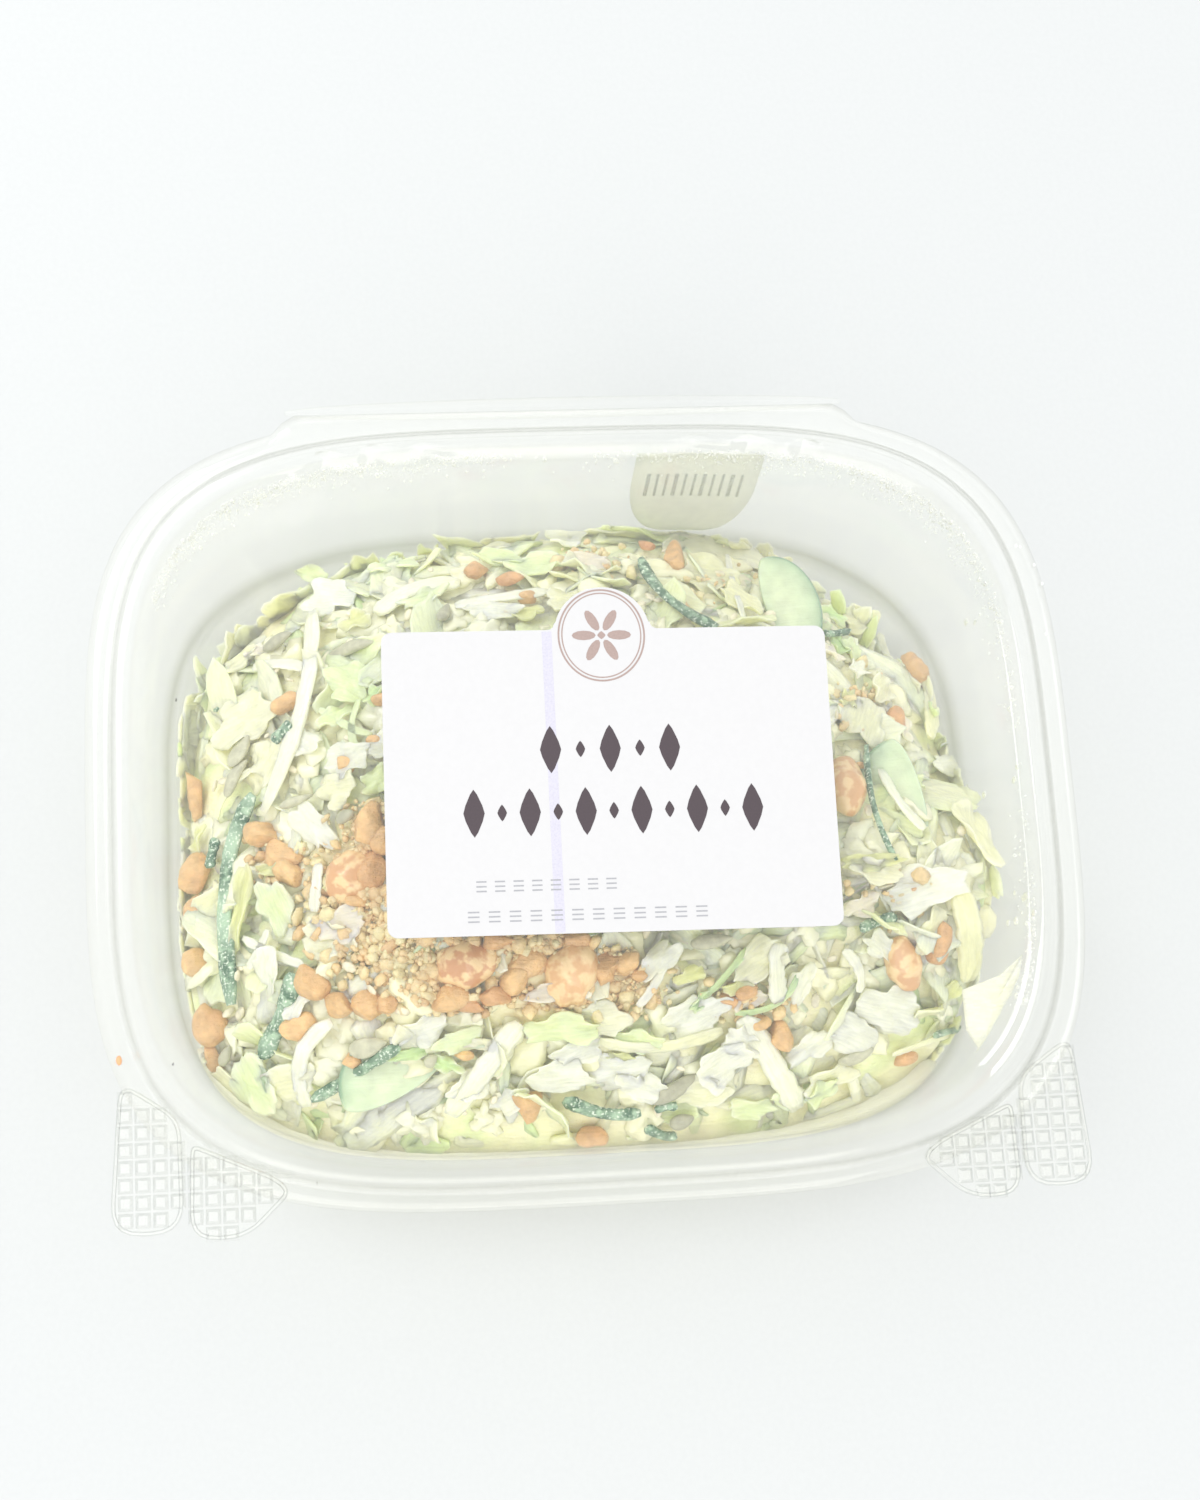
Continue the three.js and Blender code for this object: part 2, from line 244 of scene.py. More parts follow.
def clear_sheet_material(name, haze=0.012, edge=(0.84, 0.85, 0.82), edge_from=0.75, gloss_low=0.015,
                         gloss_high=0.4, roughness=0.04):
    """Clear moulded sheet: see-through, a little darker where it is seen edge on, with a sharp gloss."""
    n = Nodes(name)
    normal = n.bump(n.noise(0.045, 1.0), 0.2, 1.0)
    facing = n.node("LayerWeight", {"Blend": 0.3, "Normal": normal}).outputs["Facing"]
    tone = n.ramp(facing, (0.0, (0.996, 0.996, 0.99)), (edge_from, (0.985, 0.985, 0.972)), (1.0, edge))
    through = n.node("BsdfTransparent", {"Color": tone}).outputs[0]
    mist = n.node("BsdfDiffuse", {"Color": (0.97, 0.98, 0.97, 1.0)}).outputs[0]
    body = n.node("MixShader", {0: haze, 1: through, 2: mist}).outputs[0]
    gloss = n.node("BsdfGlossy", {"Color": (1, 1, 1, 1), "Roughness": roughness, "Normal": normal}).outputs[0]
    grazing = n.node("LayerWeight", {"Blend": 0.9, "Normal": normal}).outputs["Facing"]
    share = n.ramp(grazing, (0.0, (gloss_low,) * 3), (1.0, (gloss_high,) * 3))
    return n.finish(n.node("MixShader", {0: share, 1: body, 2: gloss}).outputs[0])


def tinted_material(name, roughness, scale, depth, mottle=0.15, wet=0.0, soft=0.0, fibre=0.0):
    """Food whose colour comes from the mesh's tint, mottled by noise, with a fine relief along its grain."""
    n = Nodes(name)
    tint = n.node("Attribute", attribute_name="tint").outputs["Color"]
    grain = n.node("Attribute", attribute_name="grain").outputs["Vector"]
    stretched = n.node("VectorMath", {0: grain, 1: (0.22, 1.9, 1.0)}, operation="MULTIPLY").outputs[0]
    lines = n.noise(1.0, 3.0, stretched)
    patch = n.noise(scale * 0.3, 3.0)
    shade = n.ramp(patch, (0.3, (1 - mottle,) * 3), (0.7, (1 + mottle * 0.35,) * 3))
    veins = n.ramp(lines, (0.35, (1 - fibre,) * 3), (0.65, (1 + fibre * 0.6,) * 3))
    shaded = n.mix("MULTIPLY", 1.0, tint, shade)
    colour = n.mix("MULTIPLY", 1.0, shaded, veins)
    height = n.node("Math", {0: n.noise(scale, 4.0), 1: lines}, operation="ADD").outputs[0]
    inputs = {
        "Base Color": colour,
        "Roughness": roughness,
        "Normal": n.bump(height, 0.5, depth),
        "Coat Weight": wet,
        "Coat Roughness": 0.15,
        "Subsurface Weight": soft,
        "Subsurface Scale": 0.005,
        "Subsurface Radius": (1.0, 0.95, 0.5),
    }
    return n.finish(n.node("BsdfPrincipled", inputs).outputs[0])


def paper_material(name, colour, roughness=0.5):
    """A plain surface with a faint grain, for paper, specks and the floor."""
    n = Nodes(name)
    tone = n.ramp(n.noise(0.9, 3.0), (0.35, tuple(0.98 * c for c in colour)), (0.65, colour))
    relief = n.bump(n.noise(4.0, 3.0), 0.15, 0.03)
    inputs = {"Base Color": tone, "Roughness": roughness, "Normal": relief}
    return n.finish(n.node("BsdfPrincipled", inputs).outputs[0])


def ink_material(name, colour, roughness=0.45):
    """Printed ink, a little uneven."""
    n = Nodes(name)
    tone = n.ramp(n.noise(3.0, 3.0), (0.3, tuple(0.85 * c for c in colour)), (0.7, colour))
    return n.finish(n.node("BsdfPrincipled", {"Base Color": tone, "Roughness": roughness}).outputs[0])


# The sheets of the box, as rings that follow its plan
SHELL_STEPS = 200
WEB = {"tip": 54.3, "foot": 66.0, "foot_y": 66.0, "back": HINGE_Y - 0.7, "start": 0.6}
LUG_PLACES = [-47.3, -37.1, -27.0, 25.8, 36.1, 46.8]
LUG_RADIUS = 2.3
LUG_INSETS = (3.0, 6.8)
WALL_TOP = FLANGE + RIM_HEIGHT - 0.8
LID_FLANGE = FLANGE + 0.3


def plan_way(turn):
    """The plan's rounded rectangle at a turn, as shares of its half width and half depth."""
    c, s = np.cos(turn), np.sin(turn)
    power = 2 / CORNER_POWER
    return np.sign(c) * np.abs(c) ** power, np.sign(s) * np.abs(s) ** power


def plan_spot(wide, deep, inset):
    """A place in plan from those shares, on the ring at an inset."""
    return (RIM_HALF_WIDTH - inset) * wide, (RIM_HALF_DEPTH - inset) * deep + CENTRE_Y


def plan_points(inset):
    """Points round the box at an inset; outside the bead's foot the front and back are narrower."""
    wide, deep = plan_way(2 * np.pi * np.arange(SHELL_STEPS) / SHELL_STEPS)
    inset_y = inset if inset >= 0 else inset * FLANGE_END / FLANGE_SIDE
    return (RIM_HALF_WIDTH - inset) * wide, (RIM_HALF_DEPTH - inset_y) * deep


def web_edge(x):
    """Back edge of the flange where it widens to carry the hinge, with hollow corners."""
    share = np.clip((WEB["foot"] - np.abs(x)) / (WEB["foot"] - WEB["tip"]), 0, 1)
    hollow = WEB["foot_y"] + (WEB["back"] - WEB["foot_y"]) * share ** 1.7
    return np.where(np.abs(x) < WEB["tip"], WEB["back"], hollow)


def rounded_profile(corners, steps=4, reach=0.45, bend=1.2):
    """A polyline of (inset, height) with each inner corner turned into a short curve."""
    points = [corners[0]]
    for ends in zip(corners, corners[1:], corners[2:]):
        before, corner, after = (np.array(end, dtype=float) for end in ends)
        into = corner + (before - corner) * min(reach, bend / np.linalg.norm(before - corner))
        out = corner + (after - corner) * min(reach, bend / np.linalg.norm(after - corner))
        points += [tuple(point) for point in curve_round(into, corner, out, steps)]
    points.append(corners[-1])
    return points


def shell_rings(profile, lug_bulge=0.0):
    """Rings of the box for a profile; the flange's outer edge follows the hinge web."""
    rings = []
    for inset, z in profile:
        x, y = plan_points(inset)
        if inset < -WEB["start"]:
            share = (-inset - WEB["start"]) / (FLANGE_SIDE - WEB["start"])
            y = y + share * np.maximum(web_edge(x) - y, 0) * (np.abs(x) < WEB["foot"]) * (y > 0)
        if lug_bulge and LUG_INSETS[0] < inset < LUG_INSETS[1]:
            y = y + lug_bulge * lug_shape(x) * (y > 0)
        rings.append(np.stack([x, y + CENTRE_Y, np.full_like(x, z)], axis=1))
    return rings


def lug_shape(x):
    """Half-round pockets in the lid's inner back edge that keep stacked boxes apart."""
    return sum(np.sqrt(np.clip(1 - ((x - place) / LUG_RADIUS) ** 2, 0, 1)) for place in LUG_PLACES)


def wall_inset(z):
    """Inset of the tub's drafted wall at a height."""
    return WALL_INSET + (WALL_TOP - z) * WALL_DRAFT


def heel_profile(radius):
    """The quarter round between wall and floor, as (inset, height)."""
    centre = wall_inset(HEEL_TOP) + HEEL_RADIUS
    turns = np.radians(np.linspace(0, 90, 9))
    return [(centre - radius * math.sin(a), HEEL_TOP - radius * math.cos(a)) for a in turns]


def add_shell(parts, low_profile, high_profile, lug_bulge=0.0):
    """One closed sheet: its underside from the middle out, and its top from the edge back in."""
    rings = shell_rings(low_profile + high_profile, lug_bulge)
    parts.add(np.concatenate(rings), ring_faces(len(rings), SHELL_STEPS))


# Pull tabs: plates with a raised border and a waffle of small studs. Corners are (x, y, radius).
TUB_TAB = [(77.0, -57.0, 3.5), (88.0, -49.5, 4.5), (90.0, -77.6, 6.0), (76.6, -77.6, 6.0)]
LID_TAB = [(75.4, -61.5, 2.2), (75.8, -79.0, 5.0), (65.5, -79.0, 4.0), (57.2, -71.0, 2.6), (60.5, -68.2, 2.0)]
TAB_SINK = {"share": 0.93, "floor": 0.1}
STUD = {"foot": 1.35, "top": 0.8, "height": 0.5, "pitch": 3.1, "margin": 0.75}
STUD_ROWS = {"x": (56.0, 92.0), "y": (-81.0, -48.0)}
BORDER = {"reach": 0.45, "half_width": 0.38, "half_height": 0.26}


def rounded_outline(corners, side, steps=6):
    """Closed outline through corners given as (x, y, radius), mirrored for the left side."""
    points = []
    count = len(corners)
    for i, (x, y, radius) in enumerate(corners):
        corner = np.array([x, y])
        before = np.array(corners[i - 1][:2])
        after = np.array(corners[(i + 1) % count][:2])
        into = corner + unit(before - corner) * radius
        out = corner + unit(after - corner) * radius
        points += curve_round(into, corner, out, steps)
    points = np.array(points) * (side, 1)
    return points[::-1] if polygon_area(points) < 0 else points


def polygon_area(points):
    """Area inside an outline, positive where it runs anticlockwise."""
    x, y = points[:, 0], points[:, 1]
    return 0.5 * float(np.sum(x * np.roll(y, -1) - y * np.roll(x, -1)))


def inside(point, outline, margin):
    """True where a point is inside an outline by at least a margin."""
    edges = np.roll(outline, -1, axis=0) - outline
    to_point = np.asarray(point) - outline
    along = np.clip(np.sum(to_point * edges, axis=1) / np.maximum(np.sum(edges ** 2, axis=1), 1e-9), 0, 1)
    nearest = np.linalg.norm(to_point - edges * along[:, None], axis=1)
    winding = np.unwrap(np.arctan2(to_point[:, 1], to_point[:, 0]))
    turned = abs(winding[-1] - winding[0]) > np.pi
    return turned and nearest.min() > margin


def lift_outline(outline, z):
    """An outline in plan as points at a height."""
    return np.column_stack([outline[:, 0], outline[:, 1] + CENTRE_Y, np.full(len(outline), z)])


def add_tab(parts, corners, side, low):
    """One pull tab: a plate with a sunk field, its border and its studs."""
    outline = rounded_outline(corners, side)
    centre = outline.mean(axis=0)
    inner = centre + (outline - centre) * TAB_SINK["share"]
    top = low + SHEET
    levels = ((outline, low), (outline, top), (inner, top), (inner, low + TAB_SINK["floor"]))
    rings = [lift_outline(ring, z) for ring, z in levels]
    parts.add(np.concatenate(rings), ring_faces(len(rings), len(outline)))
    add_border(parts, outline, top)
    for x in np.arange(*STUD_ROWS["x"], STUD["pitch"]):
        for y in np.arange(*STUD_ROWS["y"], STUD["pitch"]):
            if inside((x * side, y), outline, STUD["margin"]):
                add_stud(parts, x * side, y + CENTRE_Y, top)


def make_tabs(name, corners, low, material, body):
    """The left and right tab of the tub or the lid, as one piece."""
    parts = Parts()
    for side in (-1, 1):
        add_tab(parts, corners, side, low)
    parts.build(name, material, body, "clear_plastic", smooth=False).visible_shadow = False


def add_border(parts, outline, z):
    """A low rounded ridge along the edge of a tab."""
    edges = np.roll(outline, -1, axis=0) - np.roll(outline, 1, axis=0)
    outward = unit(np.column_stack([edges[:, 1], -edges[:, 0]]))
    rings = []
    for turn in np.radians(np.arange(0, 360, 60)):
        ring = outline - outward * (BORDER["reach"] - BORDER["half_width"] * math.cos(turn))
        rings.append(lift_outline(ring, z + BORDER["half_height"] * math.sin(turn)))
    parts.add(np.concatenate(rings), ring_faces(len(rings), len(outline), looped=True))


def add_stud(parts, x, y, z):
    """A small square stud with sloping sides."""
    corners = np.array([(-1, -1), (1, -1), (1, 1), (-1, 1)])
    low = np.column_stack([corners * STUD["foot"] + (x, y), np.full(4, z - 0.1)])
    high = np.column_stack([corners * STUD["top"] + (x, y), np.full(4, z + STUD["height"])])
    parts.add(np.concatenate([low, high]), ring_faces(2, 4))


def add_hinge_roll(parts):
    """The fold of the sheet, a slim spindle between two points."""
    half_length, point, belly, flatten = 54.8, 0.25, 1.85, 0.8
    steps, around = 40, 20
    turn = 2 * np.pi * np.arange(around) / around
    rings = []
    for t in np.sin(np.linspace(-0.5, 0.5, steps) * np.pi):
        radius = point + belly * math.sqrt(max(0.0, 1 - t * t))
        y = HINGE_Y + CENTRE_Y + radius * np.cos(turn)
        z = HINGE_Z + radius * flatten * np.sin(turn)
        rings.append(np.column_stack([np.full(around, half_length * t), y, z]))
    parts.add(np.concatenate(rings), ring_faces(steps, around))


def make_tub(walls, waffle):
    """The tub: floor, drafted walls, folded rim bead, flange, hinge roll and its pair of tabs."""
    rim_low = rounded_profile([
        (wall_inset(FLANGE + 2.2) - SHEET, FLANGE + 1.6), (2.9, FLANGE + 2.8), (1.5, FLANGE + 2.8),
        (0.45, FLANGE - SHEET), (-2.0, FLANGE - SHEET),
    ])
    rim_high = rounded_profile([
        (-2.0, FLANGE), (-0.1, FLANGE), (1.1, FLANGE + RIM_HEIGHT), (3.3, FLANGE + RIM_HEIGHT),
        (WALL_INSET + 0.05, FLANGE + 1.6),
    ])
    low = heel_profile(HEEL_RADIUS + SHEET)[::-1] + rim_low + [(-FLANGE_SIDE, FLANGE - SHEET)]
    high = [(-FLANGE_SIDE, FLANGE)] + rim_high + heel_profile(HEEL_RADIUS)
    parts = Parts()
    add_shell(parts, low, high)
    add_hinge_roll(parts)
    parts.build("tub_sheet", walls, "tub", "clear_plastic", ["tub"]).visible_shadow = False
    make_tabs("tub_tabs", TUB_TAB, FLANGE - SHEET - 0.05, waffle, "tub")


def make_lid(material, waffle):
    """The lid: sunk panel, round bead over the tub's rim, flange and its pair of tabs."""
    panel_middle = 30.0
    bottom = LID_FLANGE
    low = [(panel_middle, PANEL - SHEET)] + rounded_profile([
        (8.0, PANEL - SHEET), (5.9, PANEL - SHEET), (3.5, FLANGE + 3.6), (1.0, FLANGE + 3.6),
        (-0.45, bottom), (-2.2, bottom),
    ]) + [(-FLANGE_SIDE, bottom)]
    top = bottom + SHEET
    high = [(-FLANGE_SIDE, top)] + rounded_profile([
        (-2.2, top), (-0.9, top), (0.7, FLANGE + 4.05), (3.6, FLANGE + 4.05), (6.0, PANEL), (8.0, PANEL),
    ]) + [(panel_middle, PANEL)]
    parts = Parts()
    add_shell(parts, low, high, lug_bulge=1.3)
    make_tabs("lid_tabs", LID_TAB, bottom + 0.05, waffle, "lid")
    parts.build("lid_sheet", material, "lid", "clear_plastic", ["lid"]).visible_shadow = False


# Label and its print
LABEL = {"x": 4.3, "y": 2.3, "width": 85.2, "depth": 58.6, "corner": 2.0, "turn": -0.87}
EAR = {"x": -0.4, "radius": 9.2, "rise": 8.4, "flare": 1.3}
LABEL_TOP = PANEL + 0.3
INK_LOW = LABEL_TOP - 0.01
INK_TOP = LABEL_TOP + 0.03


def to_label(u, v, z):
    """From the label's own middle to the model."""
    turn = math.radians(LABEL["turn"])
    u, v = np.asarray(u, dtype=float), np.asarray(v, dtype=float)
    x = LABEL["x"] + u * math.cos(turn) - v * math.sin(turn)
    y = LABEL["y"] + u * math.sin(turn) + v * math.cos(turn) + CENTRE_Y
    return np.column_stack([x, y, np.full(len(u), z)])


def arc(cx, cy, radius, start, end, steps):
    """Points on an arc round a centre, from one bearing in degrees to another."""
    turn = np.radians(np.linspace(start, end, steps))
    return [(cx + radius * math.cos(a), cy + radius * math.sin(a)) for a in turn]


def label_outline():
    """The label's four rounded corners, and the round ear on its back edge with a flare at each foot."""
    corner, flare = LABEL["corner"], EAR["flare"]
    half_width, half_depth = LABEL["width"] / 2, LABEL["depth"] / 2
    right, back = half_width - corner, half_depth - corner
    foot, ear_middle = EAR["radius"] + flare, half_depth + EAR["rise"] - EAR["radius"]
    points = arc(right, -back, corner, -90, 0, 6)
    points += arc(right, back, corner, 0, 90, 6)
    points += arc(EAR["x"] + foot, half_depth + flare, flare, 270, 180, 5)
    points += arc(EAR["x"], ear_middle, EAR["radius"], 14, 166, 30)
    points += arc(EAR["x"] - foot, half_depth + flare, flare, 0, -90, 5)
    points += arc(-right, back, corner, 90, 180, 6)
    points += arc(-right, -back, corner, 180, 270, 6)
    return np.array(points)


def add_flat(parts, outline, low=INK_LOW, high=INK_TOP):
    """A flat piece on the label, from its outline."""
    outline = np.asarray(outline)
    rings = [to_label(outline[:, 0], outline[:, 1], z) for z in (low, high)]
    parts.add(np.concatenate(rings), ring_faces(2, len(outline)))


def make_label():
    """The paper and the four inks on it."""
    parts = Parts()
    add_flat(parts, label_outline(), PANEL + 0.05, LABEL_TOP)
    parts.build("label_paper", paper_material("label paper", (0.57, 0.56, 0.56)), "lid", "label_paper",
                ["label"], smooth=False)
    make_print("print_ornament", (0.035, 0.02, 0.026), add_ornament_rows)
    make_print("print_emblem", (0.34, 0.24, 0.21), add_emblem)
    make_print("print_dashes", (0.33, 0.33, 0.35), add_dash_rows)
    make_print("print_streak", (0.55, 0.53, 0.62), add_streak)


def make_print(name, colour, draw):
    """One ink of the print as a thin piece of its own."""
    parts = Parts()
    draw(parts)
    parts.build(name, ink_material(name.replace("_", " "), colour), "lid", "label_paper", smooth=False)


def add_lozenge(parts, u, v, half_width, half_height):
    """A pointed lozenge with hollow sides."""
    turns = np.radians(np.arange(0, 360, 30))
    shape = [(u + half_width * math.cos(a) * abs(math.cos(a)) ** 0.6,
              v + half_height * math.sin(a) * abs(math.sin(a)) ** 0.6) for a in turns]
    add_flat(parts, shape)


def add_ornament_rows(parts):
    """Two rows of plain lozenges in the dark ink, large and small by turns."""
    large, small = (2.0, 4.6), (0.9, 1.6)
    for first, last, v, count in ((-11.2, 11.4, 5.8, 5), (-26.0, 26.6, -6.2, 11)):
        for i, u in enumerate(np.linspace(first, last, count)):
            add_lozenge(parts, u, v, *(small if i % 2 else large))


def add_ring(parts, u, v, radius_u, radius_v, line):
    """A thin oval ring, with the line's width inside its radii."""
    turns = np.radians(np.arange(0, 360, 5))
    rings = []
    for shrink, z in ((0, INK_LOW), (0, INK_TOP), (line, INK_TOP), (line, INK_LOW)):
        across, along = (radius_u - shrink) * np.cos(turns), (radius_v - shrink) * np.sin(turns)
        rings.append(to_label(u + across, v + along, z))
    parts.add(np.concatenate(rings), ring_faces(len(rings), len(turns), looped=True))


def add_emblem(parts):
    """A plain rosette in a double ring on the label's ear."""
    u, v = -0.6, LABEL["depth"] / 2 - 1.2
    add_ring(parts, u, v, 8.4, 9.2, 0.35)
    add_ring(parts, u, v, 7.7, 8.5, 0.25)
    for turn in np.radians(np.arange(0, 360, 60)):
        petal = []
        for t in np.radians(np.arange(0, 360, 30)):
            along, across = 3.4 + 2.3 * math.cos(t), 0.95 * math.sin(t)
            petal.append((u + along * math.cos(turn) - across * math.sin(turn),
                          v + along * math.sin(turn) + across * math.cos(turn)))
        add_flat(parts, petal)
    add_lozenge(parts, u, v, 0.8, 0.8)


def add_dash_rows(parts):
    """Two faint rows of short triple dashes near the label's front edge."""
    half_line, spacing = 0.14, 0.9
    for first, last, v, count in ((-26.7, 1.0, -20.1, 8), (-28.5, 17.9, -25.8, 12)):
        step = (last - first) / count
        for i in range(count):
            left = first + step * (i + 0.2)
            right = left + step * 0.55
            for rise in (-spacing, 0.0, spacing):
                low, high = v + rise - half_line, v + rise + half_line
                add_flat(parts, [(left, low), (right, low), (right, high), (left, high)])


def add_streak(parts):
    """A pale streak of ink that runs across the label, a little aslant."""
    u, half_width, slant = -10.7, 0.95, 0.4
    front, back = -LABEL["depth"] / 2 + 0.2, LABEL["depth"] / 2 - 0.3
    shape = [(u - half_width, front), (u + half_width, front),
             (u + half_width - slant, back), (u - half_width - slant, back)]
    add_flat(parts, shape, high=LABEL_TOP + 0.012)


# Sticker on the back wall
STICKER = {"left": 14.0, "right": 39.5, "top": 49.0, "bottom": 13.0, "round": 22.0}
BARS = {"reach": 9.5, "pitch": 1.9, "wide": 0.8, "narrow": 0.55, "heights": (30.0, 35.0, 40.0)}


def back_wall_y(x, z, out=0.0):
    """Where the outside of the back wall is, or a little further out."""
    wall_thickness = 0.5
    inset = wall_inset(z) - wall_thickness
    across = np.abs(x / (RIM_HALF_WIDTH - inset)) ** CORNER_POWER
    return (RIM_HALF_DEPTH - inset) * (1 - across) ** (1 / CORNER_POWER) + out + CENTRE_Y


def sticker_half_width(z):
    """Half the sticker's width at a height: straight above, rounded below."""
    half = (STICKER["right"] - STICKER["left"]) / 2
    rise = np.clip((z - STICKER["bottom"]) / STICKER["round"], 0, 1)
    return half * (0.35 + 0.65 * np.sqrt(np.clip(1 - (1 - rise) ** 2, 0, 1)))


def wall_patch(parts, x_low, x_high, heights, out_low, out_high, columns=8):
    """A thin closed patch that follows the back wall."""
    rows = []
    for out in (out_low, out_high):
        for z, left, right in zip(heights, x_low, x_high):
            x = np.linspace(left, right, columns)
            rows.append(np.column_stack([x, back_wall_y(x, z, out), np.full(columns, z)]))
    count = len(heights)
    faces = []
    for layer in (0, 1):
        for i in range(count - 1):
            for k in range(columns - 1):
                a = (layer * count + i) * columns + k
                face = (a, a + 1, a + 1 + columns, a + columns)
                faces.append(face if layer == 0 else face[::-1])
    near = [i * columns for i in range(count)]
    far = [i * columns + columns - 1 for i in range(count)]
    loop = list(range(columns)) + far[1:] + [(count - 1) * columns + k for k in range(columns - 2, -1, -1)]
    loop += near[::-1][1:-1]
    lift = count * columns
    for a, b in zip(loop, loop[1:] + loop[:1]):
        faces.append((b, a, a + lift, b + lift))
    parts.add(np.concatenate(rows), faces)


def make_sticker():
    """The sticker's film, and plain bars on it that show through the wall."""
    middle = (STICKER["left"] + STICKER["right"]) / 2
    heights = np.linspace(STICKER["bottom"], STICKER["top"], 24)
    half = sticker_half_width(heights)
    parts = Parts()
    wall_patch(parts, middle - half, middle + half, heights, 0.15, 0.35)
    parts.build("back_sticker_film", film_material("back sticker", (0.80, 0.81, 0.74), 0.62), "tub",
                "sticker_film", ["back_sticker"])
    bars = Parts()
    heights = np.array(BARS["heights"])
    for i, x in enumerate(np.arange(middle - BARS["reach"], middle + BARS["reach"] + 0.1, BARS["pitch"])):
        half = (BARS["narrow"] if i % 3 else BARS["wide"]) / 2
        wall_patch(bars, [x - half] * 3, [x + half] * 3, heights, 0.04, 0.1, 3)
    ink = film_material("sticker bars", (0.45, 0.48, 0.45), 0.45)
    bars.build("back_sticker_bars", ink, "tub", "sticker_film")


def film_material(name, colour, cover):
    """A pale film that lets some of what is behind it through."""
    n = Nodes(name)
    paint = n.node("BsdfDiffuse", {"Color": (*colour, 1.0)}).outputs[0]
    through = n.node("BsdfTransparent", {"Color": (0.98, 0.98, 0.97, 1.0)}).outputs[0]
    fade = n.ramp(n.noise(0.6, 3.0), (0.3, (cover * 0.85,) * 3), (0.7, (cover,) * 3))
    return n.finish(n.node("MixShader", {0: fade, 1: through, 2: paint}).outputs[0])


# The heap of salad, as a height over the box's plan, low on the left and in the back corners. Swells
# and bare corners are (amount, bearing, spread).
HEAP = {"crown": 43.0, "power": 2.8, "foot": 4.5}
HEAP_REACH = 0.96
EDGE_SWELLS = [(9.0, 88, 34), (28.0, -14, 20), (12.0, -92, 34), (5.0, -140, 24)]
BARE_CORNERS = [(0.07, 135, 20), (0.10, 42, 16)]


def bell(bearing, centre, spread):
    """1 at a bearing in degrees, falling off smoothly on both sides."""
    turn = (bearing - math.radians(centre) + np.pi) % (2 * np.pi) - np.pi
    return np.exp(-(turn / math.radians(spread)) ** 2)


def heap_edge(bearing):
    """Where the heap meets the wall or the heel."""
    return HEAP["foot"] + sum(rise * bell(bearing, centre, spread) for rise, centre, spread in EDGE_SWELLS)


def heap_pull(bearing):
    """How far the heap reaches towards the wall: less in the two back corners."""
    return 1 - sum(cut * bell(bearing, centre, spread) for cut, centre, spread in BARE_CORNERS)


def hollow_inset(z):
    """Inset of the tub's inner face at a height, the rounded heel included."""
    sink = np.clip((HEEL_TOP - z) / HEEL_RADIUS, 0, 0.995)
    return wall_inset(np.maximum(z, HEEL_TOP)) + HEEL_RADIUS * (1 - np.sqrt(1 - sink ** 2))


def plan_share(x, y, inset):
    """How far a place in plan is from the middle (0) to the box's ring at an inset (1)."""
    across = np.abs(x / (RIM_HALF_WIDTH - inset)) ** CORNER_POWER
    along = np.abs((y - CENTRE_Y) / (RIM_HALF_DEPTH - inset)) ** CORNER_POWER
    return (across + along) ** (1 / CORNER_POWER)


def heap_share(x, y):
    """How far a place is from the heap's middle (0) to its edge (1), and its bearing."""
    bearing = np.arctan2((y - CENTRE_Y) / RIM_HALF_DEPTH, x / RIM_HALF_WIDTH)
    return plan_share(x, y, hollow_inset(heap_edge(bearing)) + 0.5) / heap_pull(bearing), bearing


def heap_bumps(x, y):
    """Broad and fine swells of the heap's surface."""
    broad = np.sin(x / 9 + 0.4) * np.cos(y / 8 - 0.6)
    fine = np.sin(x / 4.1 + y / 6.3) * np.cos(y / 3.7 - x / 7.9 + 1.1)
    return 1.1 * broad + 0.8 * fine


def heap_height(x, y):
    """Height of the heap over a place."""
    share, bearing = heap_share(x, y)
    edge = heap_edge(bearing)
    rise = 1 - np.clip(share, 0, 1) ** HEAP["power"]
    return edge + (HEAP["crown"] - edge) * rise + heap_bumps(x, y) * np.clip(4 * (1 - share), 0, 1)


def heap_normal(x, y):
    """Which way the heap's surface faces, no steeper than its pieces could lie."""
    step = 2.0
    dx = (heap_height(x + step, y) - heap_height(x - step, y)) / (2 * step)
    dy = (heap_height(x, y + step) - heap_height(x, y - step)) / (2 * step)
    steepest = 1.6
    slope = np.maximum(np.hypot(dx, dy) / steepest, 1.0)
    return unit(np.stack([-dx / slope, -dy / slope, np.ones_like(dx)], axis=-1))


def on_heap(px, py, lift=0.0):
    """The places on the heap that pixels of the photograph show."""
    rays = pixel_ray(px, py)
    first_guess, rounds = 35.0, 40
    z = np.full(np.shape(px), first_guess)
    for _ in range(rounds):
        places = CAM_PLACE + rays * ((z - CAM_PLACE[2]) / rays[..., 2])[..., None]
        z = 0.6 * z + 0.4 * (heap_height(places[..., 0], places[..., 1]) + lift)
    return places


# How low, how high and how close to the wall the salad's pieces may lie
LOWEST = 1.3
HIGHEST = PANEL - SHEET - 0.5
WALL_GAP = 0.7


def keep_in_tub(points, clearance=WALL_GAP):
    """Draws points back inside the tub's walls, floor and lid."""
    z = np.clip(points[:, 2], LOWEST, HIGHEST)
    pull = np.maximum(plan_share(points[:, 0], points[:, 1], hollow_inset(z) + clearance), 1.0)
    return np.column_stack([points[:, 0] / pull, (points[:, 1] - CENTRE_Y) / pull + CENTRE_Y, z])


# The dressing that has run to the front: its bearings and its level, and the bearings and the share of
# the way out from which random pieces leave it open to view
POOL = {"from": -156, "to": -38, "level": 8.2}
OPEN_POOL = {"from": -74, "to": -40, "share": 0.84}

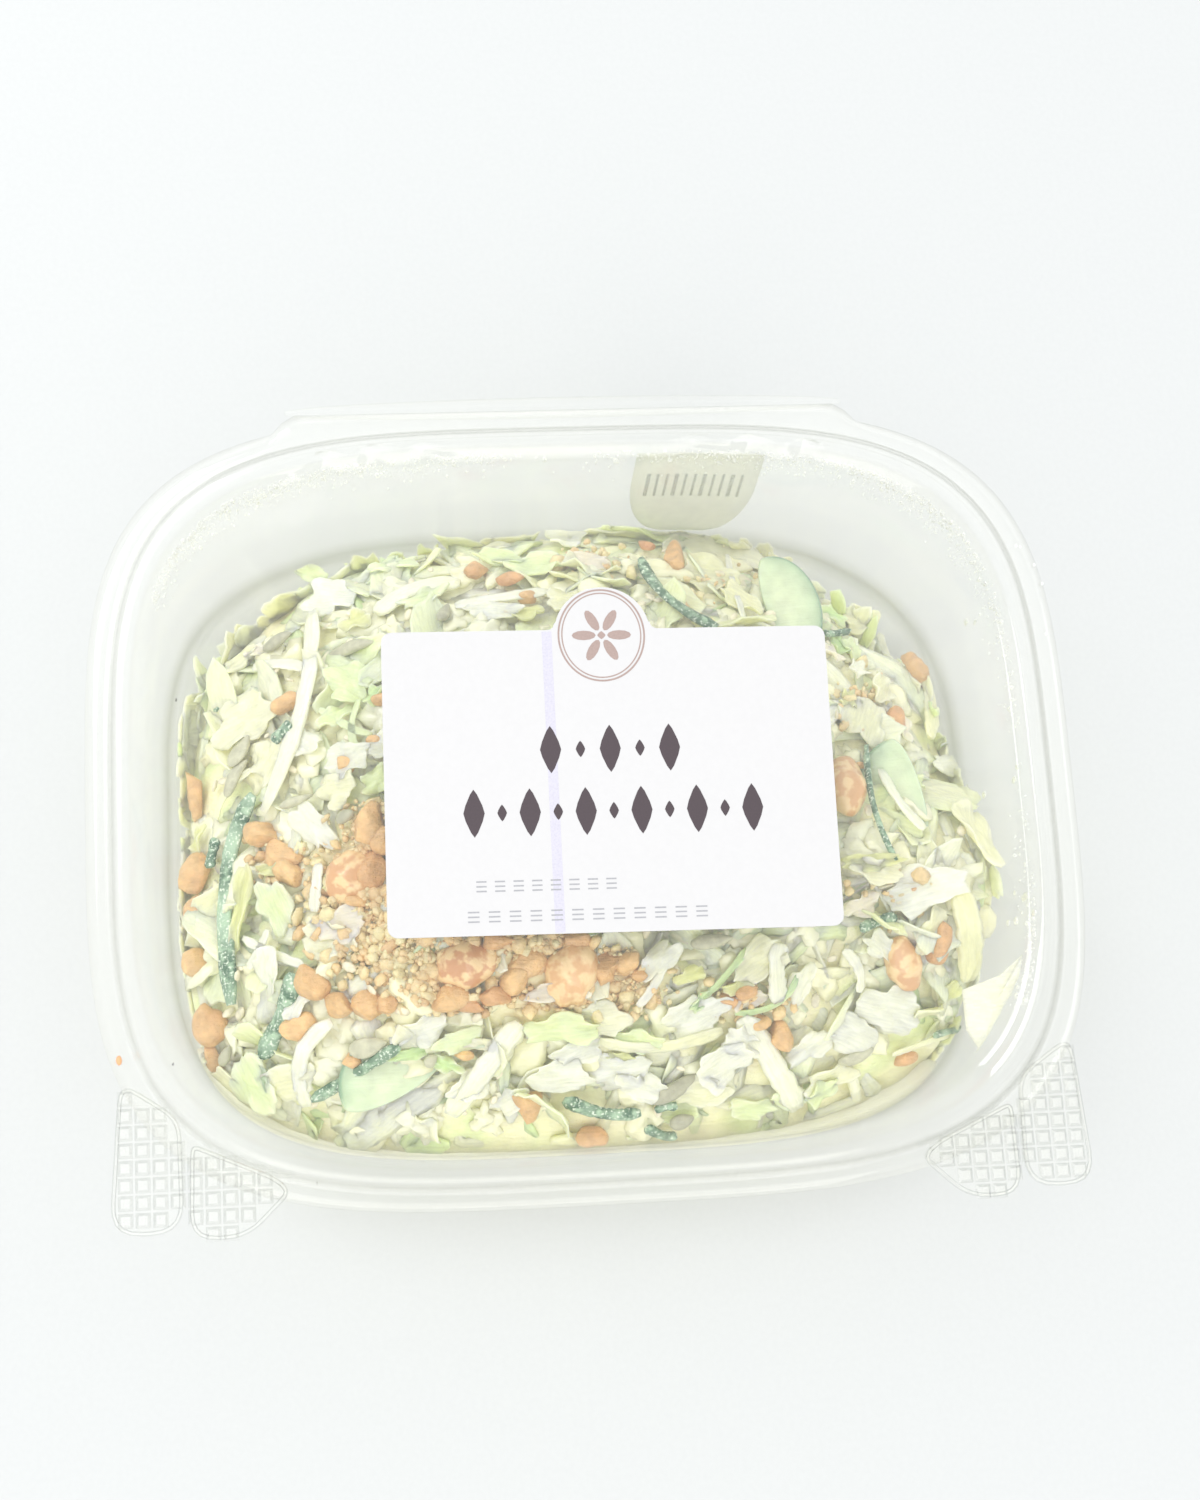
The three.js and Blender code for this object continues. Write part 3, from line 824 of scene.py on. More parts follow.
# Colours of the food, as linear light
TINTS = {
    "white": (0.92, 0.92, 0.62),
    "cream": (0.90, 0.87, 0.46),
    "pale_green": (0.72, 0.88, 0.38),
    "green": (0.50, 0.76, 0.27),
    "olive": (0.64, 0.66, 0.24),
    "tan": (0.88, 0.74, 0.50),
    "dressing": (0.93, 0.89, 0.53),
    # The pool's dressing is paler than the rest: painted light that makes up for the shade at the foot of the
    # front wall.
    "pool": (0.98, 0.96, 0.70),
    "skin": (0.03, 0.10, 0.045),
    "bloom": (0.46, 0.64, 0.44),
    "flesh": (0.54, 0.68, 0.42),
    "rind": (0.13, 0.26, 0.15),
    "seed": (0.40, 0.39, 0.26),
    "sesame": (0.90, 0.82, 0.58),
    "nut": (0.80, 0.48, 0.19),
    "roasted": (0.56, 0.24, 0.09),
    "sugar": (0.88, 0.60, 0.27),
}
TINTS = {name: np.array(colour) for name, colour in TINTS.items()}

# Scale of the photograph at the heap, and how far above the heap's surface shown things lie
PIXELS_PER_MM = 5.15
SHOWN_LIFT = 3.2
SEED_LIFT = 4.0
CRUMB_LIFT = 2.8

# How many pieces of each kind are strewn at random
STREWN = {
    "shreds": 440, "clots": 420, "leaves": 130, "wall_leaves": 330,
    "slivers": 18, "sesame": 150, "drops": 2600,
}


def blend_tint(a, b, share):
    """From one tint to another by a share, or by one share for each point."""
    share = np.asarray(share)[..., None]
    return TINTS[a] * (1 - share) + TINTS[b] * share


RIBBON_TURNS = np.radians(np.arange(0, 360, 45))


def add_ribbon(parts, path, up, width, thick, cup, tint, twist=0.0, fray=0.0):
    """A closed strip along a path, with a flat oval section that may twist, and edges that may be torn."""
    count = len(path)
    along = unit(np.gradient(path, axis=0))
    side = unit(np.cross(along, up))
    lift = unit(np.cross(side, along))
    turn = (twist * np.linspace(-0.5, 0.5, count))[:, None]
    side, lift = side * np.cos(turn) + lift * np.sin(turn), lift * np.cos(turn) - side * np.sin(turn)
    rows, grains = [], []
    torn = 1 + fray * np.clip(rng.normal(0, 1, (2, count)), -1.6, 1.6)
    run = np.concatenate([[0], np.cumsum(np.linalg.norm(np.diff(path, axis=0), axis=1))])
    for angle in RIBBON_TURNS:
        s, h = math.cos(angle), math.sin(angle)
        reach = s * width / 2 * torn[0 if s > 0 else 1]
        offset = side * reach[:, None] + lift * (h * thick / 2 + cup * s * s)[:, None]
        rows.append(path + offset)
        grains.append(np.column_stack([run, s * width / 2, np.full(count, path[0, 0])]))
    verts = keep_in_tub(np.stack(rows, axis=1).reshape(-1, 3))
    grain = np.stack(grains, axis=1).reshape(-1, 3)
    tints = np.repeat(tint, len(RIBBON_TURNS), axis=0) if np.ndim(tint) == 2 else tint
    parts.add(verts, ring_faces(count, len(RIBBON_TURNS)), tints, grain)


def heap_path(x, y, heading, bend, length, lifts, step=2.2):
    """A path over the heap from a start in plan, with a lift above it at every step."""
    count = max(6, int(length / step))
    turns = heading + bend * np.linspace(0, 1, count)
    xs = x + np.concatenate([[0], np.cumsum(np.cos(turns[:-1]) * step)])
    ys = y + np.concatenate([[0], np.cumsum(np.sin(turns[:-1]) * step)])
    share, _ = heap_share(xs, ys)
    squeeze = np.where(share > HEAP_REACH, HEAP_REACH / share, 1.0)
    xs = xs * squeeze
    ys = (ys - CENTRE_Y) * squeeze + CENTRE_Y
    rise = np.interp(np.linspace(0, 1, count), np.linspace(0, 1, len(lifts)), lifts)
    return np.column_stack([xs, ys, heap_height(xs, ys) + rise - dip(xs, ys)]), heap_normal(xs, ys)


def random_place(reach=HEAP_REACH):
    """An even random place in the heap's plan."""
    while True:
        x = rng.uniform(-RIM_HALF_WIDTH, RIM_HALF_WIDTH)
        y = rng.uniform(-RIM_HALF_DEPTH, RIM_HALF_DEPTH)
        share, bearing = heap_share(x, y)
        in_stretch = OPEN_POOL["from"] < math.degrees(bearing) < OPEN_POOL["to"]
        over_pool = in_stretch and share > OPEN_POOL["share"]
        if share < reach and not over_pool:
            return x, y


def tilted_normal(x, y, spread):
    """The heap's facing at a place, tilted a little at random."""
    return unit(heap_normal(x, y) + rng.normal(0, spread, 3))


def any_heading(up):
    """A random direction square to up."""
    return unit(np.cross(up, rng.normal(0, 1, 3)))


def set_down(parts, shape, faces, place, up, heading, tint):
    """Adds a shape at a place inside the tub, its own z along up and its x along a heading."""
    side = np.cross(up, heading)
    turned = shape[:, 0:1] * heading + shape[:, 1:2] * side + shape[:, 2:3] * up
    parts.add(keep_in_tub(place + turned), faces, tint)


def random_cabbage():
    """A tint between white, cream and the palest green, and now and then a greener one."""
    draw = rng.random()
    if draw < 0.5:
        return blend_tint("cream", "white", rng.random())
    if draw < 0.82:
        return blend_tint("white", "pale_green", rng.random() * 0.8)
    if draw < 0.95:
        return blend_tint("cream", "pale_green", rng.random())
    return blend_tint("pale_green", "green", rng.random() * 0.6)


def make_shreds():
    """Shredded cabbage: several hundred curved strips, thrown over the heap one after another."""
    parts = Parts()
    for i in range(STREWN["shreds"]):
        x, y = random_place()
        length = rng.uniform(13, 30) if rng.random() < 0.6 else rng.uniform(30, 52)
        low = rng.uniform(-2.0, -0.5) + i / STREWN["shreds"]
        lifts = low + np.array([0.0, rng.uniform(0.3, 1.9), rng.uniform(0.1, 2.0), rng.uniform(-1.2, 1.4)])
        path, up = heap_path(x, y, rng.uniform(0, 2 * np.pi), rng.normal(0, 1.0), length, lifts)
        count = len(path)
        wide = rng.uniform(1.8, 3.8) if rng.random() < 0.55 else rng.uniform(3.8, 8.5)
        waver = 1 + 0.2 * np.sin(np.linspace(0, rng.uniform(3, 8), count) + rng.uniform(0, 6))
        taper = np.clip(np.sin(np.linspace(0.14, np.pi - 0.14, count)) * 2.4, 0.25, 1)
        lean = unit(up + rng.normal(0, 0.3, 3))
        tip = blend_tint("pale_green", "green", rng.uniform(0, 0.4))
        base, share = random_cabbage(), np.linspace(0, 1, count)[:, None] ** 2 * (rng.random() < 0.3)
        tint = (base * (1 - share) + tip * share) * rng.uniform(0.95, 1.03)
        add_ribbon(parts, path, lean, wide * waver * taper, np.full(count, rng.uniform(0.8, 1.8)),
                   rng.uniform(-0.8, 0.8), tint, rng.normal(0, 0.45), fray=rng.uniform(0.02, 0.16))
    return parts


def make_clots():
    """Thick clots of dressing that fill the gaps between the shreds."""
    parts = Parts()
    shape, faces = ball(14, 9)
    for _ in range(STREWN["clots"]):
        x, y = random_place(0.95)
        size = rng.uniform(1.5, 4.0)
        clot = lumpy(shape * (size * rng.uniform(1, 1.8), size, size * 0.5), size * 0.45, 0.75)
        up = tilted_normal(x, y, 0.15)
        heading = any_heading(up)
        place = np.array([x, y, float(heap_height(x, y)) + rng.uniform(-1.0, 0.9)])
        tint = blend_tint("dressing", "white", rng.random()) * rng.uniform(0.92, 1.0)
        set_down(parts, clot, faces, place, up, heading, tint)
    return parts


# How far out each ring of a leaf lies, and half its thickness there
LEAF_SHARES = [0.15, 0.4, 0.62, 0.8, 0.93, 1.0]
LEAF_THICKS = [0.45, 0.45, 0.4, 0.35, 0.3, 0.15]


def add_leaf(parts, place, up, heading, half_length, half_width, tint, edge_tint, ruffle, around,
             gap=WALL_GAP):
    """A torn piece of cabbage leaf: a ragged patch with a frilled edge, soft creases and some thickness."""
    side = np.cross(up, heading)
    turn = 2 * np.pi * np.arange(around) / around
    phases = rng.uniform(0, 6.28, 6)
    ragged = 1 + 0.13 * np.sin(3 * turn + phases[0]) + 0.08 * np.sin(5 * turn + phases[1])
    ragged = ragged + 0.05 * np.sin(9 * turn + phases[2]) + rng.normal(0, 0.045, around)
    frills, cup = rng.integers(3, 6), rng.uniform(-0.1, 0.28) * half_width
    rows, tints, grains, gaps = [], [], [], []
    for layer in (-1, 1):
        for share, thick in list(zip(LEAF_SHARES, LEAF_THICKS))[::layer]:
            u = np.cos(turn) * ragged * half_length * share
            v = np.sin(turn) * ragged * half_width * share
            wave = ruffle * share ** 3 * np.sin(frills * turn + phases[3]) + cup * (share ** 2 - 0.5)
            crease = 0.4 * np.sin(u * 0.8 + phases[4]) * np.sin(v * 1.1 + phases[5])
            rise = wave + crease + layer * -thick
            rows.append(place + u[:, None] * heading + v[:, None] * side + rise[:, None] * up)
            tints.append(np.tile(tint + (edge_tint - tint) * share ** 3, (around, 1)))
            grains.append(np.column_stack([u, v, np.full(around, place[0])]))
            gaps.append(np.full(around, gap + thick * (1 + layer)))
    half = len(LEAF_SHARES)
    kinds = (rows, tints, grains, gaps)
    verts, tints, grains, gaps = (np.concatenate(kind[half:] + kind[:half]) for kind in kinds)
    parts.add(keep_in_tub(verts, gaps), ring_faces(2 * half, around), tints, grains)


# What the photograph shows on the heap, each thing at its pixel. Places, lengths and widths are in
# pixels of the photograph, and turns in degrees across it. Leaves and seeds are (x, y, length, width, turn),
# and nuts have their roast as well, from 0 to 1.
SHOWN_LEAVES = {
    "white": [
        (330, 599, 60, 48, -20), (569, 534, 60, 38, 60), (313, 826, 62, 34, -35), (618, 1073, 60, 46, 10),
        (721, 1063, 62, 46, 30), (889, 1009, 75, 50, -20), (854, 1035, 60, 40, -30), (924, 888, 85, 46, 15),
        (950, 768, 46, 34, 20), (267, 985, 85, 36, 75), (855, 671, 26, 22, 30), (810, 1048, 56, 30, 40),
        (695, 1017, 66, 46, 20), (560, 1075, 60, 36, 0), (420, 1030, 60, 30, 20), (300, 1000, 50, 26, 60),
        (640, 1085, 50, 30, -20), (494, 611, 60, 24, -10), (350, 760, 60, 36, 0), (880, 945, 46, 26, -40),
        (470, 1085, 46, 30, 30), (660, 960, 50, 26, 40), (800, 985, 44, 26, 70), (390, 745, 44, 30, 20),
        (300, 740, 50, 30, -30), (740, 1040, 46, 30, -30), (580, 1050, 50, 30, 20), (510, 1100, 44, 26, 30),
    ],
    "cream": [
        (246, 719, 74, 56, 20), (978, 836, 84, 50, 80), (863, 719, 64, 54, 60), (708, 574, 64, 50, 0),
        (330, 940, 60, 40, 0), (875, 870, 60, 26, -10), (570, 600, 50, 40, 0), (760, 960, 60, 40, 30),
        (860, 620, 40, 30, 0), (230, 1090, 60, 36, -30), (700, 1090, 60, 36, 0), (830, 1080, 60, 30, 10),
        (340, 790, 50, 36, 0), (240, 660, 50, 26, 30), (930, 930, 50, 34, 60), (880, 690, 44, 34, 30),
        (290, 1080, 60, 40, 20), (600, 1020, 60, 36, 10), (740, 600, 50, 36, -20), (270, 760, 50, 40, 60),
    ],
    "pale_green": [
        (309, 572, 46, 20, -25), (393, 567, 52, 34, 10), (654, 532, 125, 26, 5), (534, 568, 82, 34, -25),
        (351, 683, 56, 48, -30), (277, 904, 54, 42, -60), (256, 1083, 64, 54, -60), (562, 1027, 74, 32, 5),
        (751, 1109, 54, 26, -20), (335, 719, 40, 22, 45), (820, 1090, 40, 24, 30), (425, 600, 50, 26, 30),
        (790, 1098, 44, 26, -30), (500, 560, 60, 26, -20), (370, 650, 50, 30, 10), (640, 1040, 50, 24, -10),
        (850, 650, 30, 26, 30), (460, 1040, 50, 24, 10), (910, 780, 30, 24, 0), (380, 780, 40, 26, 30),
    ],
    "green": [
        (833, 617, 34, 26, 0), (840, 645, 28, 22, 0), (410, 1054, 50, 14, 10), (446, 1064, 34, 16, -20),
        (388, 563, 26, 18, 20), (375, 695, 24, 16, 60), (590, 930, 30, 12, 10), (700, 1000, 30, 10, 50),
        (265, 1075, 30, 14, -50), (1002, 1010, 20, 10, 60),
    ],
    "olive": [
        (357, 622, 34, 22, 20), (244, 904, 84, 22, 85), (870, 862, 70, 18, 5), (950, 992, 30, 18, 60),
        (526, 614, 36, 20, 0), (270, 870, 30, 14, 0), (850, 700, 30, 24, 60), (330, 880, 24, 14, 80),
        (690, 975, 34, 16, 20), (735, 985, 30, 16, 0), (620, 1055, 26, 10, 0), (200, 840, 30, 18, 80),
    ],
    "tan": [
        (585, 563, 54, 26, -15), (256, 652, 24, 14, 0), (340, 925, 60, 34, 10), (900, 725, 40, 22, 70),
        (860, 905, 40, 22, 10), (750, 1000, 40, 20, 0), (560, 990, 60, 22, 5), (830, 655, 26, 18, 0),
    ],
}
# Ribs are four places along a curve, a width and a tint. Strips of skin are the same with a share of bloom.
SHOWN_RIBS = [
    ((313, 612), (312, 658), (306, 712), (264, 812), 20, "white"),
    ((319, 864), (318, 880), (316, 895), (315, 912), 14, "white"),
    ((378, 614), (400, 594), (425, 585), (460, 584), 25, "white"),
    ((455, 607), (485, 600), (520, 596), (548, 592), 14, "white"),
    ((741, 1018), (762, 1045), (780, 1075), (797, 1108), 25, "white"),
    ((520, 1023), (495, 1053), (475, 1083), (450, 1114), 24, "white"),
    ((779, 943), (775, 962), (777, 982), (778, 1002), 20, "white"),
    ((727, 556), (731, 580), (738, 600), (743, 620), 7, "white"),
    ((675, 948), (660, 972), (652, 992), (637, 1006), 9, "white"),
    ((747, 948), (735, 965), (722, 980), (707, 994), 7, "green"),
    ((797, 974), (787, 1000), (765, 1010), (735, 1013), 7, "green"),
    ((332, 1022), (300, 1045), (297, 1075), (307, 1106), 17, "white"),
    ((254, 668), (272, 664), (290, 664), (305, 669), 14, "white"),
    ((252, 770), (232, 785), (221, 800), (217, 820), 9, "cream"),
    ((268, 930), (262, 948), (256, 958), (249, 968), 10, "white"),
    ((244, 938), (262, 950), (285, 958), (304, 966), 10, "white"),
    ((843, 950), (856, 960), (862, 975), (858, 992), 11, "white"),
    ((958, 892), (968, 915), (971, 950), (968, 980), 28, "cream"),
    ((926, 666), (931, 690), (932, 712), (929, 737), 20, "cream"),
    ((892, 1054), (915, 1046), (940, 1036), (962, 1030), 8, "cream"),
    ((600, 1040), (640, 1050), (680, 1045), (722, 1030), 13, "cream"),
    ((880, 770), (893, 795), (906, 812), (924, 830), 13, "white"),
    ((320, 710), (335, 718), (350, 730), (372, 735), 8, "pale_green"),
    ((360, 700), (352, 720), (350, 740), (362, 752), 8, "pale_green"),
    ((425, 1050), (445, 1042), (470, 1040), (500, 1048), 12, "cream"),
]
SHOWN_SKINS = [
    ((252, 794), (228, 842), (219, 895), (230, 1005), 21, 0.75),
    ((292, 973), (287, 1003), (275, 1030), (261, 1058), 19, 0.45),
    ((312, 1101), (340, 1086), (372, 1064), (400, 1047), 13, 0.3),
    ((642, 558), (655, 586), (680, 608), (718, 626), 15, 0.15),
    ((564, 1101), (590, 1112), (612, 1118), (641, 1114), 15, 0.35),
    ((647, 1128), (655, 1134), (665, 1138), (677, 1137), 11, 0.2),
    ((867, 745), (870, 795), (880, 825), (897, 860), 7, 0.15),
    ((861, 930), (872, 924), (884, 920), (897, 918), 12, 0.3),
    ((934, 1037), (945, 1033), (955, 1031), (964, 1030), 8, 0.5),
    ((215, 838), (212, 848), (210, 856), (208, 868), 14, 0.1),
    ((825, 632), (832, 633), (840, 632), (850, 630), 8, 0.1),
    ((218, 710), (219, 702), (224, 694), (232, 690), 16, 0.3),
    ((272, 740), (278, 734), (284, 728), (290, 722), 15, 0.3),
    ((656, 1112), (663, 1108), (670, 1107), (677, 1108), 10, 0.3),
    ((460, 960), (461, 962), (462, 964), (463, 966), 4, 0.1),
]
SHOWN_SEEDS = [
    (444, 612, 32, 13, 80), (351, 648, 62, 17, -12), (277, 641, 40, 18, 0), (239, 751, 38, 26, 60),
    (235, 778, 48, 17, 45), (296, 801, 38, 10, 20), (345, 816, 22, 15, 0), (368, 1047, 40, 20, 15),
    (431, 1060, 16, 12, 40), (680, 1087, 70, 18, 22), (682, 1121, 26, 17, 15), (856, 1056, 40, 17, 20),
    (908, 1025, 24, 9, 0), (268, 889, 16, 12, 0), (712, 941, 44, 15, 10), (225, 1056, 24, 12, 60),
]
SHOWN_NUTS = [
    (195, 793, 58, 18, -78, 0.35), (195, 873, 44, 34, 40, 0.15), (197, 915, 46, 29, 85, 0.3),
    (195, 965, 36, 27, 85, 0.1), (207, 1024, 46, 34, 80, 0.25), (213, 1070, 54, 14, -75, 0.35),
    (263, 836, 40, 28, 0, 0.1), (282, 858, 48, 32, -20, 0.2), (290, 873, 34, 25, -30, 0.05),
    (313, 984, 42, 30, -15, 0.15), (340, 1006, 38, 27, 0, 0.1), (368, 1007, 32, 27, 0, 0.2),
    (387, 1005, 22, 20, 0, 0.35), (298, 1026, 38, 26, 20, 0.1), (453, 998, 38, 28, 0, 0.15),
    (496, 997, 34, 24, -40, 0.6), (470, 1005, 36, 17, 0, 0.7), (514, 979, 36, 27, 60, 0.1),
    (527, 964, 46, 27, 10, 0.15), (603, 970, 36, 27, 60, 0.35), (629, 962, 28, 20, 30, 0.1),
    (674, 557, 48, 22, 88, 0.25), (646, 546, 22, 9, -45, 0.9), (768, 572, 22, 13, 0, 0.2),
    (917, 671, 46, 24, -60, 0.4), (896, 721, 34, 20, 70, 0.6), (746, 993, 24, 17, 10, 0.5),
    (728, 1002, 22, 15, 0, 0.5), (759, 1022, 22, 18, 0, 0.1), (781, 1036, 34, 25, -50, 0.2),
    (527, 1106, 38, 32, -80, 0.2), (590, 1137, 36, 22, 0, 0.45), (906, 1058, 28, 15, 0, 0.5),
    (941, 940, 50, 22, 80, 0.5), (284, 702, 38, 18, 15, 0.2), (345, 765, 24, 18, 0, 0.1),
    (351, 1062, 20, 15, 0, 0.15), (370, 1094, 34, 17, 0, 0.15), (477, 572, 28, 20, 80, 0.35),
    (510, 579, 30, 15, -40, 0.6), (528, 598, 18, 15, 0, 0.15), (380, 699, 20, 13, 0, 0.3),
    (376, 742, 20, 15, 0, 0.25), (371, 874, 42, 34, 60, 0.55), (385, 840, 32, 26, 0, 0.3),
    (368, 824, 46, 40, 60, 0.15), (862, 765, 14, 8, 0, 0.3), (465, 1055, 20, 12, 0, 0.15),
    (848, 651, 12, 8, 0, 0.4), (640, 975, 22, 16, 0, 0.3), (575, 940, 34, 18, 0, 0.4),
    (500, 942, 40, 18, 0, 0.45), (355, 862, 22, 18, 0, 0.5), (355, 900, 24, 14, -20, 0.2),
]
# Patches of praline are (x, y, spread across, spread down, how thick it lies).
CRUMB_PATCHES = [
    (368, 835, 12, 18, 90), (362, 900, 22, 12, 80), (376, 929, 18, 10, 70), (340, 925, 22, 16, 80),
    (393, 957, 28, 14, 150), (430, 975, 22, 14, 70), (500, 950, 50, 10, 90), (560, 955, 34, 10, 60),
    (605, 992, 26, 14, 100), (640, 985, 18, 14, 50), (265, 862, 16, 14, 40), (590, 563, 18, 8, 30),
    (700, 590, 20, 16, 20), (890, 900, 30, 14, 30), (860, 700, 16, 20, 30), (420, 1000, 30, 8, 40),
    (750, 1000, 22, 12, 30), (330, 850, 16, 20, 30), (540, 1000, 40, 10, 60),
]
CRUMBS_PER_THICKNESS = 1.7
PALE_LEAF = {
    "corners": [(1022, 955), (1000, 975), (962, 990), (966, 1030), (985, 1058), (1008, 1030), (1018, 990)],
    "foot_row": 1060, "rows": 105, "foot": 36.0, "top": PANEL - 5.0,
}


def shown_places(rows, lift=SHOWN_LIFT):
    """The places on the heap of a table of shown things."""
    table = np.array([row[:2] for row in rows], dtype=float)
    return on_heap(table[:, 0], table[:, 1], lift)


def shown_things(rows, lift=SHOWN_LIFT):
    """Each shown thing's place, half length and half width in millimetres, and what else its row says."""
    for place, (_px, _py, length, width, *rest) in zip(shown_places(rows, lift), rows):
        yield place, length / 2 / PIXELS_PER_MM, width / 2 / PIXELS_PER_MM, *rest


def make_leaves():
    """Torn leaf pieces strewn between the shreds."""
    parts = Parts()
    for _ in range(STREWN["leaves"]):
        x, y = random_place(0.94)
        up = tilted_normal(x, y, 0.35)
        heading = any_heading(up)
        rise = rng.uniform(-0.6, 1.4) - float(dip(x, y))
        place = np.array([x, y, float(heap_height(x, y)) + rise])
        tint = random_cabbage()
        edge = tint + (TINTS["pale_green"] - tint) * rng.uniform(0, 0.6)
        size = rng.uniform(4.0, 8.6)
        half_length = size * rng.uniform(1, 1.7)
        add_leaf(parts, place, up, heading, half_length, size * 0.75, tint, edge, rng.uniform(0.3, 1.3), 18)
    return parts


def make_wall_leaves():
    """Pieces pressed flat against the tub's wall, or on the heap's own flank in the bare corners."""
    parts = Parts()
    half_sizes = np.array([RIM_HALF_WIDTH, RIM_HALF_DEPTH])
    for _ in range(STREWN["wall_leaves"]):
        bearing = rng.uniform(-np.pi, np.pi)
        over_pool = POOL["from"] < math.degrees(bearing) < POOL["to"]
        top = POOL["level"] - 1.0 if over_pool else float(heap_edge(bearing)) + 1.0
        z = rng.uniform(2.0, max(top, 6.0))
        inset = float(hollow_inset(z)) + 0.9
        way = np.array([math.cos(bearing), math.sin(bearing)])
        reach = float(heap_pull(bearing)) / np.sum(np.abs(way) ** CORNER_POWER) ** (1 / CORNER_POWER)
        x, y = (half_sizes - inset) * way * reach
        across, along = np.abs([x, y] / half_sizes) ** (CORNER_POWER - 1) * np.sign(way)
        sink = min(max((HEEL_TOP - z) / HEEL_RADIUS, 0.0), 0.9)
        out = unit(np.array([across, along, 0.0])) * math.sqrt(1 - sink ** 2) - np.array([0.0, 0.0, sink])
        heading = unit(np.cross(out, rng.normal(0, 1, 3) * (1, 1, 0.5)))
        size = rng.uniform(2.6, 6.0)
        tint = random_cabbage() * rng.uniform(0.93, 1.0)
        half_length, half_width = size * rng.uniform(1, 2.2), size * rng.uniform(0.35, 0.75)
        place = np.array([x, y + CENTRE_Y, z])
        add_leaf(parts, place, out, heading, half_length, half_width, tint, tint * 0.96, 0.25, 16,
                 rng.uniform(0.25, 1.15))
    return parts


def make_shown_leaves():
    """The larger leaf pieces, in the places shown."""
    parts = Parts()
    for kind, rows in SHOWN_LEAVES.items():
        for place, half_length, half_width, turn in shown_things(rows):
            up = tilted_normal(place[0], place[1], 0.14)
            heading = picture_heading(turn, up)
            tint = TINTS[kind] * rng.uniform(0.95, 1.03)
            edge = tint + (TINTS["white"] - tint) * rng.uniform(-0.15, 0.5)
            place = place + up * rng.uniform(-0.3, 0.9)
            ruffle = rng.uniform(0.4, 1.1)
            add_leaf(parts, place, up, heading, half_length, half_width, tint, edge, ruffle, 32)
    return parts


def pixel_path(points, lift, count=18):
    """A smooth path over the heap through four places that the photograph shows."""
    a, b, c, d = (np.array(point, dtype=float) for point in points)
    t = np.linspace(0, 1, count)[:, None]
    early, late = b + (b - (a + c) / 2) * 0.4, c + (c - (b + d) / 2) * 0.4
    curve = (1 - t) ** 3 * a + 3 * t * (1 - t) ** 2 * early + 3 * t ** 2 * (1 - t) * late + t ** 3 * d
    path = on_heap(curve[:, 0], curve[:, 1], lift)
    return path, heap_normal(path[:, 0], path[:, 1])


def shown_spots():
    """Places in plan of the ribs, strips, seeds and nuts that stay in sight."""
    spots = [pixel_path(row[:4], SHOWN_LIFT, 8)[0][:, :2] for row in SHOWN_RIBS + SHOWN_SKINS]
    spots += [shown_places(rows)[:, :2] for rows in (SHOWN_SEEDS, SHOWN_NUTS)]
    return np.concatenate(spots)


SHOWN_SPOTS = shown_spots()


def near_shown(x, y):
    """1 close to a thing that stays in sight, falling to 0 at four millimetres from it."""
    across = SHOWN_SPOTS[:, 0] - np.asarray(x)[..., None]
    along = SHOWN_SPOTS[:, 1] - np.asarray(y)[..., None]
    return np.clip(1.6 - np.hypot(across, along).min(axis=-1) / 2.5, 0, 1)


def dip(x, y):
    """How far a random piece sinks so that it doesn't cover what stays in sight."""
    return 2.2 * near_shown(x, y)


def praline_cover(x, y):
    """How thickly praline covers a place on the heap, from 0 to 1."""
    cover = 0
    full = 60
    for place, half_x, half_y, thickness in shown_things(CRUMB_PATCHES, CRUMB_LIFT):
        reach = half_x + half_y + 0.8
        gap = np.hypot(x - place[0], y - place[1])
        cover = cover + min(thickness / full, 1) * np.exp(-(gap / reach) ** 2)
    return np.clip(cover * 1.3, 0, 1)


def make_ribs():
    """Pale ribs and long shreds of the leaves, in the places shown."""
    parts = Parts()
    for *points, wide, kind in SHOWN_RIBS:
        path, up = pixel_path(points, 3.6)
        count = len(path)
        swell = np.clip(np.sin(np.linspace(0.25, np.pi - 0.25, count)) * 2.2, 0.45, 1)
        swell = swell * (1 + 0.07 * np.sin(np.linspace(0, 9, count) + wide))
        tint = np.clip(TINTS[kind] * (1 + 0.05 * np.sin(np.linspace(0, 5, count)))[:, None], 0, 0.97)
        breadth = wide / PIXELS_PER_MM * swell
        add_ribbon(parts, path, up, breadth, np.clip(breadth * 0.4, 0.7, 1.8), 0.35, tint, 0.2, fray=0.08)
    return parts


def make_skin_strips():
    """Dark green strips of cucumber skin with their pale bloom, as shown, and slivers between the shreds."""
    parts = Parts()
    for *points, wide, bloom in SHOWN_SKINS:
        path, up = pixel_path(points, 5.0, 26)
        count = len(path)
        waver = 1 + 0.09 * np.sin(np.linspace(0, 9, count))
        waver = waver * np.clip(np.sin(np.linspace(0.2, np.pi - 0.2, count)) * 2.6, 0.4, 1)
        patches = bloom * (0.5 + 0.5 * np.sin(np.linspace(0, 17, count) + wide)) ** 0.8
        tint = blend_tint("skin", "bloom", patches)
        breadth = wide / PIXELS_PER_MM * waver
        add_ribbon(parts, path, unit(up + (0.2, 0, 0)), breadth, np.full(count, 0.9), -0.45, tint, fray=0.05)
    for _ in range(STREWN["slivers"]):
        x, y = random_place(0.9)
        lifts = [rng.uniform(-0.5, 0.6), rng.uniform(0.0, 1.6), rng.uniform(-0.5, 1.2)]
        path, up = heap_path(x, y, rng.uniform(0, 6.28), rng.normal(0, 0.8), rng.uniform(4, 11), lifts, 1.4)
        add_ribbon(parts, path, unit(up + rng.normal(0, 0.4, 3)), np.full(len(path), rng.uniform(0.8, 2.2)),
                   np.full(len(path), 0.8), 0.2, blend_tint("skin", "bloom", rng.random() * 0.5))
    return parts


